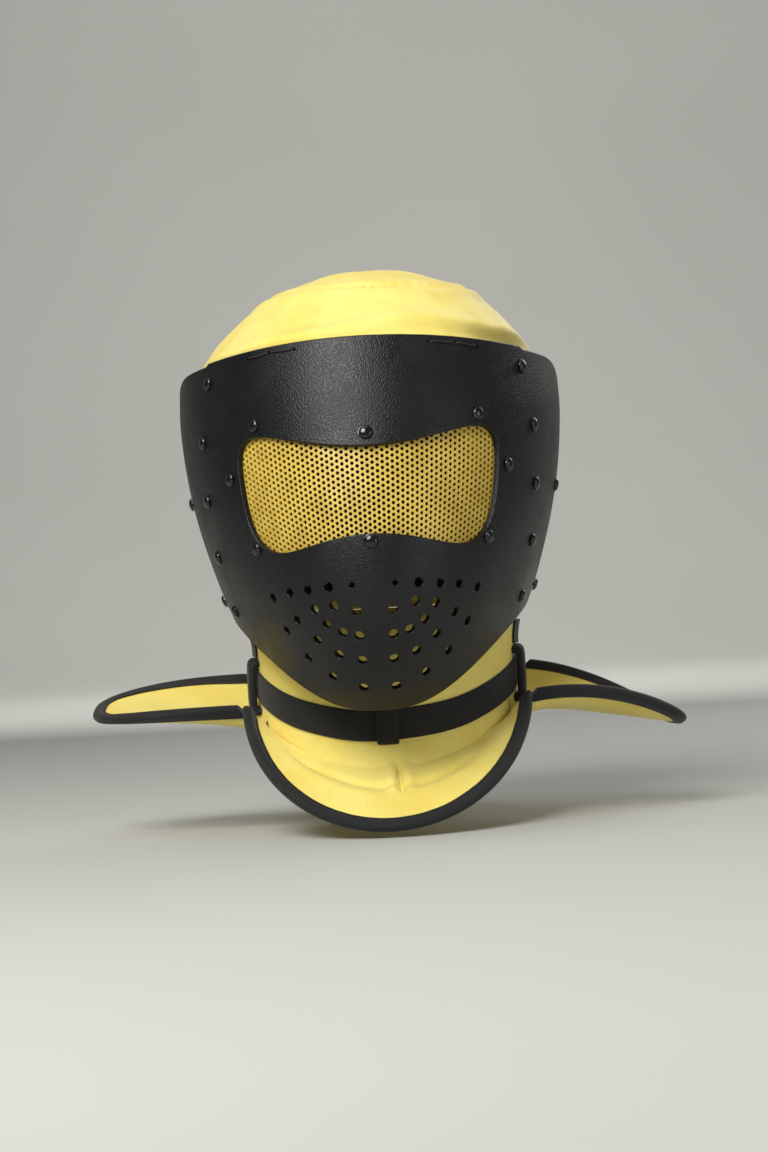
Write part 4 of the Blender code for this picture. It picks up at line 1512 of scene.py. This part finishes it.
@dataclass
class PaddedHood:
    """The padded hood with its crown panel's puckered seam."""

    form: ShieldForm
    palette: Palette
    height: float = 225 * MM
    wall: float = 20 * MM
    back: float = 130 * MM
    inset: float = 5.6 * MM
    lean: tuple = (4 * MM, 60 * MM)
    face: tuple = (144 * MM, 68 * MM, 64 * MM)
    seam_along: float = 0.229
    sections: tuple = (
        (0.000, 0.000, 0.000, -0.126, 0.115, 0.33),
        (0.086, 0.011, 0.216, 0.100, 0.346, 0.36),
        (0.169, 0.044, 0.415, 0.335, 0.585, 0.44),
        (0.229, 0.073, 0.570, 0.500, 0.740, 0.53),
        (0.285, 0.124, 0.690, 0.650, 0.830, 0.62),
        (0.342, 0.178, 0.794, 0.810, 0.885, 0.71),
        (0.401, 0.236, 0.884, 0.980, 0.923, 0.84),
        (0.461, 0.302, 0.946, 1.000, 0.954, 0.93),
        (0.526, 0.382, 0.994, 0.985, 0.985, 1.00),
        (0.638, 0.533, 1.000, 0.930, 1.000, 1.00),
        (0.808, 0.756, 1.000, 0.860, 0.980, 1.00),
        (0.930, 0.911, 1.000, 0.800, 0.920, 1.00),
        (1.000, 1.000, 1.000, 0.760, 0.846, 1.00),
    )

    def point(self, turn: float, along: float) -> Vector:
        """A point of the hood's plain outer face."""
        _, drop, width, front, back, middle = smooth_row(self.sections, along)
        height = self.wall - drop * self.height
        half, depth = self.form.size(height)
        middle *= self.form.rear
        if along == 0:
            reach = 0.0
        elif math.cos(turn) > 0:
            reach = middle + front * (depth - self.inset - self.form.rear)
        else:
            reach = back * self.back - middle
        lean = self.lean[0] * max(1 - (self.wall - height) / self.lean[1], 0.0)
        across = width * (half - self.inset) * math.sin(turn) + lean
        return Vector((across, middle - reach * math.cos(turn), height))

    def _seam_line(self, turn: float) -> float:
        """The crown seam's share of the way down."""
        return self.seam_along + 0.006 * math.sin(2 * turn + 0.4)

    def relief(self, turn: float, along: float, point: Vector) -> float:
        """How far the fabric stands out from the plain face.

        Args:
            turn: angle round from the front.
            along: share of the way from the crown down.
            point: the plain face's point.

        Returns:
            The distance outwards, in metres.
        """
        rise = 0.9 * MM * ripple(point, 38 * MM, 3.1) + 0.35 * MM * ripple(point, 13 * MM, 8.0)
        gap = (along - self._seam_line(turn)) * 260 * MM
        rise -= 1.5 * MM * bell(gap, 1.6 * MM)
        rise += 0.9 * MM * bell(gap - 5 * MM, 4 * MM) + 0.7 * MM * bell(gap + 5 * MM, 4 * MM)
        pucker = math.sin(turn * 58 + 2.2 * math.sin(turn * 7)) * 0.5 + 0.5
        strength = 0.4 + 0.9 * bell(turn - 0.4, 0.6)
        rise -= 1.2 * MM * strength * pucker * bell(gap + 1 * MM, 5 * MM)
        front = smooth(math.cos(turn), 0.1, 0.55)
        fold = -self.form.drop + 1 * MM + 10 * MM * smooth(point.x, -35 * MM, 45 * MM)
        fold -= self.form.top_fall * math.sin(turn) ** 2
        tuck = smooth(fold - point.z, -1.0 * MM, 3.0 * MM)
        rise -= 3.8 * MM * tuck * front
        rise += 2.2 * MM * bell(point.z - fold - 3.5 * MM, 4.5 * MM) * front
        return rise

    def build(self) -> list[bpy.types.Object]:
        """Builds and dresses the hood and its seam."""
        return [self.shell(), self.seam()]

    def shell(self) -> bpy.types.Object:
        """The padded shell, open at the face and at the neck."""
        half_step = math.pi / 176
        columns = []
        for turn in spaced(half_step, 2 * math.pi - half_step, 176):
            column = []
            for along in spaced(0, 1, 105):
                point = self.point(turn, along)
                column.append(point + self._normal(turn, along) * self.relief(turn, along, point))
            columns.append(column)
        top = sum((column[0] for column in columns), Vector()) / len(columns)
        for column in columns:
            column[0] = top
        hood = lofted("hood_padding", columns, wrap_columns=True)
        hood.data.materials.append(self.palette.nylon)
        hood.data.materials.append(self.palette.lining)
        add(hood, "SOLIDIFY", thickness=self.wall * 0.9, offset=-1.0, material_offset=1)
        add(hood, "BEVEL", width=5 * MM, segments=4, angle_limit=math.radians(60))
        cutter = self._face_cutter()
        cutter.data.materials.append(self.palette.lining)
        add(hood, "BOOLEAN", operation="DIFFERENCE", solver="EXACT", object=cutter)
        settled(hood)
        discard(cutter)
        shaded(hood.data, 55)
        return piece(hood, Slot.FABRIC, "hood", fill=0.7)

    def _normal(self, turn: float, along: float) -> Vector:
        """The outward normal of the plain face."""
        if along < 0.004:
            return UP.copy()
        across = self.point(turn + 0.01, along) - self.point(turn - 0.01, along)
        low, high = max(along - 0.004, 0.001), min(along + 0.004, 1.0)
        down = self.point(turn, high) - self.point(turn, low)
        return down.cross(across).normalized()

    def _face_cutter(self) -> bpy.types.Object:
        """The face opening's cutter."""
        width, top, arch = self.face
        spring = -top - arch
        outline = [(width / 2, -267 * MM)]
        outline += [
            (width / 2 * math.cos(angle), spring + arch * math.sin(angle))
            for angle in spaced(0, math.pi, 40)
        ]
        outline.append((-width / 2, -267 * MM))
        columns = [
            [Vector((x, y, z)) for y in (-self.form.depth, 0.0)] for x, z in outline
        ]
        cutter = lofted("face_cutter", columns, wrap_columns=True)
        with edited(cutter.data) as builder:
            bmesh.ops.holes_fill(builder, edges=builder.edges, sides=0)
        return outward(cutter)

    def seam(self) -> bpy.types.Object:
        """Stitches along the crown panel's seam."""
        path, normals = [], []
        for turn in spaced(0, 2 * math.pi, 361):
            along = self._seam_line(turn)
            point, normal = self.point(turn, along), self._normal(turn, along)
            path.append(point + normal * (self.relief(turn, along, point) + 0.05 * MM))
            normals.append(normal)
        places = stitch_row(path, normals, 3.4 * MM)
        made = copied_on_points(
            "crown_seam_stitches", stitch_body(2.5 * MM, 0.28 * MM), places,
            self.palette.pale_thread,
        )
        return piece(made, Slot.FABRIC)


@dataclass
class NeckCollar:
    """The quilted neck wall with its strap, loops, tabs and clasp."""

    form: CollarForm
    shield: ShieldForm
    palette: Palette
    strap_thickness: float = 1.6 * MM
    side_loop: tuple = (math.radians(76), 11 * MM, 35 * MM, 8.5 * MM)
    front_loop: tuple = (0.0, 14 * MM, 24 * MM, 4.5 * MM)
    clasp_size: tuple = (math.pi, 34 * MM, 27 * MM, 7 * MM)
    tab: tuple = (math.radians(80), 18 * MM, 1.6 * MM)

    def build(self) -> list[bpy.types.Object]:
        """Builds and dresses every piece of the neck."""
        made = [self.wall(), self.strap()]
        for side in Side:
            turn, *size = self.side_loop
            at = side.value * turn
            made.append(self.keeper(f"strap_loop_{side.label}", at, size, 2.7 * MM, 2.6))
            made.append(self.side_tab(side))
        made.append(self.keeper("strap_loop_front", 0.0, self.front_loop[1:], 0.9 * MM, 3.6))
        made.append(self.clasp())
        return made

    def wall(self) -> bpy.types.Object:
        """The padded neck wall."""
        form = self.form
        columns = []
        for turn in spaced(0, 2 * math.pi, 193)[:-1]:
            top, bottom = form.top(turn), form.bottom(turn) - 3 * MM
            column = []
            for share in eased(0, 1, 34):
                height = top + (bottom - top) * share
                out = form.flared(turn, height) - 0.4 * MM
                puff = 1.6 * MM * math.sin(math.pi * share) ** 0.6
                press = bell(height - form.strap(turn), 9 * MM)
                point = form.at(turn, height, out)
                fold = 0.8 * MM * ripple(point, 16 * MM, 1.7) * (1 - press)
                pinch = 1.6 * MM * bell(abs(turn - math.pi) - math.pi, 0.03) * (1 - press)
                column.append(form.at(turn, height, out + (puff + fold) * (1 - press) - pinch))
            for share in spaced(1, 0, 12):
                height = top + (bottom - top) * share
                edge = 1.2 * MM * (abs(2 * share - 1) ** 6)
                column.append(form.at(turn, height, form.flared(turn, height) - form.wall + edge))
            columns.append(column)
        wall = lofted("neck_wall", columns, True, True, sharp=70)
        return piece(wall, Slot.FABRIC, "neck_collar", finish=self.palette.nylon, fill=0.6)

    def strap(self) -> bpy.types.Object:
        """The webbing strap, one closed loop."""
        form = self.form
        path = []
        for turn in spaced(0, 2 * math.pi, 289)[:-1]:
            wobble = 0.25 * MM * math.sin(turn * 9) + 0.3 * MM * math.sin(turn * 5 + 1)
            out = 0.3 * MM + self.strap_thickness / 2
            path.append(form.at(turn, form.strap(turn) + wobble, out))
        half = form.strap_width / 2
        strap = swept(
            "neck_webbing", path, lambda _: UP, lambda _: half,
            self.strap_thickness / 2, 6.0, 28, True,
        )
        return piece(strap, Slot.WEBBING, "neck_strap", finish=self.palette.webbing)

    def keeper(
        self, name: str, turn: float, size: Sequence[float], thick: float, power: float
    ) -> bpy.types.Object:
        """A loop of webbing over the strap.

        Args:
            name: the CAD node that it stands for.
            turn: where it stands round the neck.
            size: its width, height and reach.
            thick: half the webbing's thickness.
            power: squareness of its section.

        Returns:
            The loop.
        """
        width, height, reach = size
        base, out, along = self.form.axes(turn)
        step = width / (2 * self.form.half_width)
        slope = (self.form.strap(turn + step) - self.form.strap(turn - step)) / width
        inner = 2.2 * MM + thick
        path = []
        for angle in spaced(-math.pi / 2, math.pi / 2, 41):
            lift = math.cos(angle) ** 0.55
            reach_out = inner + (reach - thick - inner) * lift
            reach_out -= (1 - lift) ** 3 * (inner - 0.5 * MM)
            up = (height / 2 - thick * 0.6) * math.sin(angle)
            path.append(base + out * reach_out + Vector((0, 0, self.form.strap(turn) + up)))
        way = along + Vector((0, 0, slope))
        loop = swept(
            f"{name}_webbing", path, lambda _: way, lambda _: width / 2, thick, power, 24
        )
        finish = self.palette.slanted if name.endswith("front") else self.palette.grosgrain
        return piece(loop, Slot.WEBBING, name, finish=finish)

    def side_tab(self, side: Side) -> bpy.types.Object:
        """Webbing from a side loop up to the shield's lower edge."""
        turn, width, thickness = self.tab
        middle = side.value * turn
        form = self.form
        top = min(form.top(middle), self.shield.bottom(middle) - 2 * self.shield.sheet)
        bottom = form.strap(middle) + self.side_loop[2] / 2
        path = [
            form.at(middle, height, form.flared(middle, height) + 0.9 * MM + thickness / 2)
            for height in spaced(bottom, top, 24)
        ]
        _, _, way = form.axes(middle)
        tab = swept(
            f"side_tab_{side.label}_webbing", path, lambda _: way,
            lambda _: width / 2, thickness / 2, 6.0, 24,
        )
        return piece(tab, Slot.WEBBING, f"side_tab_{side.label}", finish=self.palette.grosgrain)

    def clasp(self) -> bpy.types.Object:
        """The moulded clasp at the back, with grip ribs."""
        turn, width, height, reach = self.clasp_size
        base, out, along = self.form.axes(turn)
        columns = []
        for share in eased(-1, 1, 49):
            edge = (1 - abs(share) ** 5) ** 0.2
            half_reach = (reach - 2.4 * MM) / 2
            rib = 0.5 * MM * max(math.cos(share * math.pi * 7), 0.0) * smooth(abs(share), 0.28, 0.4)
            column = []
            for angle in spaced(0, 2 * math.pi, 29)[:-1]:
                up = signed_power(math.sin(angle), 0.4) * height / 2 * (0.82 + 0.18 * edge)
                deep = signed_power(math.cos(angle), 0.4) * half_reach * edge
                push = rib if math.cos(angle) > 0.3 else 0.0
                point = base + along * share * width / 2
                point += out * (2.2 * MM + half_reach + deep + push)
                point.z = self.form.strap(turn) + up
                column.append(point)
            columns.append(column)
        clasp = outward(lofted("strap_clasp_body", columns, False, True, True))
        return piece(clasp, Slot.PLASTIC, "strap_clasp", finish=self.palette.plastic)


@dataclass
class ShoulderLobe:
    """One padded lobe of the collar with its bound edge."""

    name: str
    binding_name: str
    form: LobeForm
    palette: Palette
    relief: Callable[[float, float, Vector], float]
    ribbed: bool = False
    columns: int = 150
    tape_share: float = 0.84

    def build(self) -> list[bpy.types.Object]:
        """Builds and dresses the pad, its binding and its stitches."""
        return [self.pad(), self.edge(), self.stitches()]

    def pad(self) -> bpy.types.Object:
        """The quilted pad, which reaches into its binding."""
        form = self.form
        columns = []
        for across in eased(-form.span, form.span, self.columns):
            root, edge, normal, band = form.line(across)
            length = (root - edge).length
            stop = 1 - 0.45 * band / length
            column = []
            for share in spaced(0.12, 1, 34):
                point = root.lerp(edge, share * stop)
                inner = 1 - self.tape_share * band / length
                crown = math.sin(math.pi * min(share * stop / inner, 1.0)) ** 0.7
                half = form.thickness / 2 - 0.9 * MM + 1.7 * MM * crown
                rise = self.relief(across, share, point) * smooth(1 - share, 0.02, 0.25)
                column.append(point + normal * (half + rise))
            column = self._fillet(across, column) + column
            for share in spaced(1, 0, 16):
                point = root.lerp(edge, share * stop)
                column.append(point - normal * (form.thickness / 2 - 0.6 * MM))
            columns.append(column)
        pad = outward(lofted(f"{self.name}_pad", columns, False, True, True, sharp=60))
        nylon = self.palette.ribbed_nylon if self.ribbed else self.palette.nylon
        return piece(pad, Slot.FABRIC, self.name, finish=nylon, fill=0.55)

    def _fillet(self, across: float, column: Sequence[Vector]) -> list[Vector]:
        """Curves the pad's root up on to the neck wall, below the strap.

        Args:
            across: the place across the lobe.
            column: the pad's upper face there, from its root outwards.

        Returns:
            The points from the wall to the column's first.
        """
        form = self.form
        turn = form.start + (form.end - form.start) * (across + 1) / 2
        foot = form.collar.bottom(turn)
        high = form.collar.at(turn, foot + form.collar.strap_margin - 2 * MM, 0.7 * MM)
        bend = form.collar.at(turn, foot - 1 * MM, 1.6 * MM)
        end = column[0]
        return [
            high * (1 - part) ** 2 + bend * 2 * part * (1 - part) + end * part**2
            for part in spaced(0, 1, 12)[:-1]
        ]

    def edge(self) -> bpy.types.Object:
        """The grosgrain binding that wraps the edge."""
        form = self.form
        half = form.binding_thickness / 2 - 0.4 * MM
        columns = []
        for across in eased(-form.span, form.span, 2 * self.columns):
            root, edge, normal, band = form.line(across)
            band *= self.tape_share
            inward = (root - edge).normalized()
            nose = min(half * 1.3, band * 0.8)
            wave = 0.25 * MM * ripple(edge, 9 * MM, 5.0)
            column = []
            for share in spaced(1, 0, 7):
                away = nose + (band - nose) * share
                pinch = 0.35 * MM * bell(away - band + 1.6 * MM, 1.0 * MM)
                column.append(edge + inward * away + normal * (half - pinch + wave))
            for angle in spaced(0, math.pi, 13)[1:-1]:
                away = nose * (1 - math.sin(angle))
                column.append(edge + inward * away + normal * half * math.cos(angle))
            for share in spaced(0, 1, 5):
                away = nose + (band - nose) * share
                column.append(edge + inward * away - normal * half)
            columns.append(column)
        tape = outward(lofted(f"{self.binding_name}_tape", columns, False, True, True, sharp=60))
        return piece(tape, Slot.WEBBING, self.binding_name, finish=self.palette.grosgrain)

    def stitches(self) -> bpy.types.Object:
        """The row of stitches along the binding's inner edge."""
        form = self.form
        path, normals = [], []
        for across in eased(-form.span, form.span, 400):
            root, edge, normal, band = form.line(across)
            band *= self.tape_share
            inward = (root - edge).normalized()
            lift = form.binding_thickness / 2 - 0.7 * MM
            path.append(edge + inward * (band - 1.6 * MM) + normal * lift)
            normals.append(normal)
        places = stitch_row(path, normals, 3.0 * MM)
        made = copied_on_points(
            f"{self.binding_name}_stitches", stitch_body(2.1 * MM, 0.26 * MM), places,
            self.palette.thread,
        )
        return piece(made, Slot.WEBBING)


def bib_relief(across: float, share: float, point: Vector) -> float:
    """Folds of the front bib: a pinch below the strap and a soft fold across."""
    gap = point.x - 7 * MM - 4 * MM * share
    fade = smooth(0.60 - share, 0.0, 0.12)
    rise = -4.5 * MM * bell(gap, 1.7 * MM) * fade
    rise += 2.0 * MM * (bell(gap - 6 * MM, 4.5 * MM) + bell(gap + 5 * MM, 3.5 * MM)) * fade
    tip = bell(gap + 5 * MM, 5 * MM) * bell(share - 0.52, 0.07)
    rise += 1.8 * MM * tip
    fold = share - 0.42 - 0.04 * math.sin(across * 5 + 1)
    reach = smooth(0.7 - abs(across + 0.05), 0.0, 0.35)
    rise -= 2.2 * MM * bell(fold, 0.06) * reach
    rise += 1.5 * MM * bell(fold - 0.16, 0.10) * reach
    corner = bell(abs(across) - 0.62, 0.10) * bell(share - 0.25, 0.14)
    return rise - 1.4 * MM * corner + 0.8 * MM * ripple(point, 20 * MM, 2.0)


def flap_relief(across: float, share: float, point: Vector) -> float:
    """Soft folds of a shoulder flap or the back flap."""
    fold = share - 0.35 - 0.08 * math.sin(across * 3)
    rise = -0.9 * MM * bell(fold, 0.08) * smooth(0.8 - abs(across), 0.0, 0.3)
    return rise + 0.9 * MM * ripple(point, 24 * MM, 6.0)


@dataclass
class Studio:
    """Camera, lights, world and floor."""

    distance: float = 2.0
    azimuth: float = math.radians(1.0)
    roll: float = math.radians(3.2)
    aside: float = 4.0 * MM
    height: float = -183 * MM
    lens: float = 94.7

    def build(self) -> None:
        """Builds everything that isn't the object."""
        self.camera()
        self.lights()
        self.world()
        self.floor()

    def camera(self) -> None:
        """The camera at the photograph's viewing angle."""
        data = bpy.data.cameras.new("camera")
        data.lens = self.lens
        data.sensor_width = 36.0
        data.sensor_fit = "AUTO"
        data.clip_start, data.clip_end = 0.05, 60.0
        camera = bpy.data.objects.new("camera", data)
        bpy.context.scene.collection.objects.link(camera)
        right = Vector((math.cos(self.azimuth), math.sin(self.azimuth), 0))
        back = Vector((math.sin(self.azimuth), -math.cos(self.azimuth), 0))
        tilted = right * math.cos(self.roll) - UP * math.sin(self.roll)
        upright = right * math.sin(self.roll) + UP * math.cos(self.roll)
        place = Matrix((tilted, upright, back)).transposed().to_4x4()
        place.translation = right * self.aside + back * self.distance + UP * self.height
        camera.matrix_world = place
        bpy.context.scene.camera = camera

    def lights(self) -> None:
        """Soft area lights: a key, a fill, a top, a rim and one on the backdrop."""
        middle, backdrop = (0, 0, -0.16), (0, 5, 0.9)
        rows = (
            ("key", (-0.62, -1.3, 0.98), middle, 0.95, 34.0, (1.0, 0.99, 0.96)),
            ("fill", (1.6, -1.1, 0.1), middle, 0.8, 5.0, (0.97, 0.98, 1.0)),
            ("top", (-0.2, -0.1, 1.5), middle, 1.3, 6.0, (1.0, 1.0, 1.0)),
            ("rim", (0.9, 1.3, 0.7), middle, 0.9, 6.0, (1.0, 1.0, 1.0)),
            ("backdrop", (0.0, 1.6, 1.3), backdrop, 1.5, 60.0, (1.0, 1.0, 0.98)),
        )
        for name, place, target, size, power, color in rows:
            data = bpy.data.lights.new(name, "AREA")
            data.size, data.energy, data.color = size, power, color
            light = bpy.data.objects.new(name, data)
            bpy.context.scene.collection.objects.link(light)
            aim = Vector(target) - Vector(place)
            light.location = place
            light.rotation_mode = "QUATERNION"
            light.rotation_quaternion = aim.to_track_quat("-Z", "Y")

    def world(self) -> None:
        """A pale, even surrounding light."""
        world = bpy.data.worlds.new("studio")
        world.use_nodes = True
        background = world.node_tree.nodes["Background"]
        background.inputs["Color"].default_value = (0.80, 0.81, 0.82, 1.0)
        background.inputs["Strength"].default_value = 0.20
        bpy.context.scene.world = world
        bpy.context.scene.view_settings.view_transform = "Standard"

    def floor(self) -> None:
        """A plain pale floor that curves up into the backdrop."""
        low = CAD_BOX[0].z - 2 * MM
        profile = [(-9.0, low), (3.0, low)]
        profile += [
            (3 + 2 * math.sin(angle), low + 2 - 2 * math.cos(angle))
            for angle in spaced(0.1, math.pi / 2, 16)
        ]
        profile.append((5.0, low + 7))
        floor = lofted("floor", [[Vector((x, y, z)) for y, z in profile[::-1]] for x in (-9, 9)])
        mesh = floor.data
        graph = ShaderGraph("pale_floor")
        cloud = graph.noise(1.4, 3.0)
        tone = graph.mix(cloud, rgb(186, 186, 180), rgb(196, 196, 190))
        mesh.materials.append(graph.finish(Base_Color=tone, Roughness=0.8))


def lobes(collar: CollarForm, palette: Palette) -> list[ShoulderLobe]:
    """The front bib, the two shoulder flaps and the back flap.

    Args:
        collar: the neck they hang from.
        palette: the finishes.

    Returns:
        The lobes.
    """
    front, rear, full = math.radians(67), math.radians(115), 2 * math.pi
    aside = Vector((104 * MM, 0, 0))
    bib = LobeForm(collar, -front, front, Vector((0, -97 * MM, -79 * MM)), 2.0)
    back = LobeForm(collar, rear, full - rear, Vector((0, 95 * MM, -60 * MM)), 2.2)
    right = LobeForm(collar, front, rear, aside, 3.0, 36 * MM, 14 * MM)
    left = LobeForm(collar, full - rear, full - front, -aside, 3.0, 10 * MM)
    return [
        ShoulderLobe("front_bib", "bib_binding", bib, palette, bib_relief, True, 280),
        ShoulderLobe("back_flap", "back_binding", back, palette, flap_relief),
        ShoulderLobe(
            "shoulder_flap_right", "shoulder_binding_right", right, palette, flap_relief
        ),
        ShoulderLobe("shoulder_flap_left", "shoulder_binding_left", left, palette, flap_relief),
    ]


def main() -> None:
    """Builds the headgear's looks in order and reports each piece."""
    logging.basicConfig(level=logging.INFO, format="%(message)s")
    palette = Palette()
    shield, collar = ShieldForm(), CollarForm()
    Studio().build()
    assemblies = [
        FaceShield(shield, palette),
        PaddedHood(shield, palette),
        NeckCollar(collar, shield, palette),
        *lobes(collar, palette),
    ]
    for assembly in assemblies:
        for made in assembly.build():
            made.data.calc_loop_triangles()
            LOG.info("%s: %d triangles", made.name, len(made.data.loop_triangles))


if __name__ == "__main__":
    main()
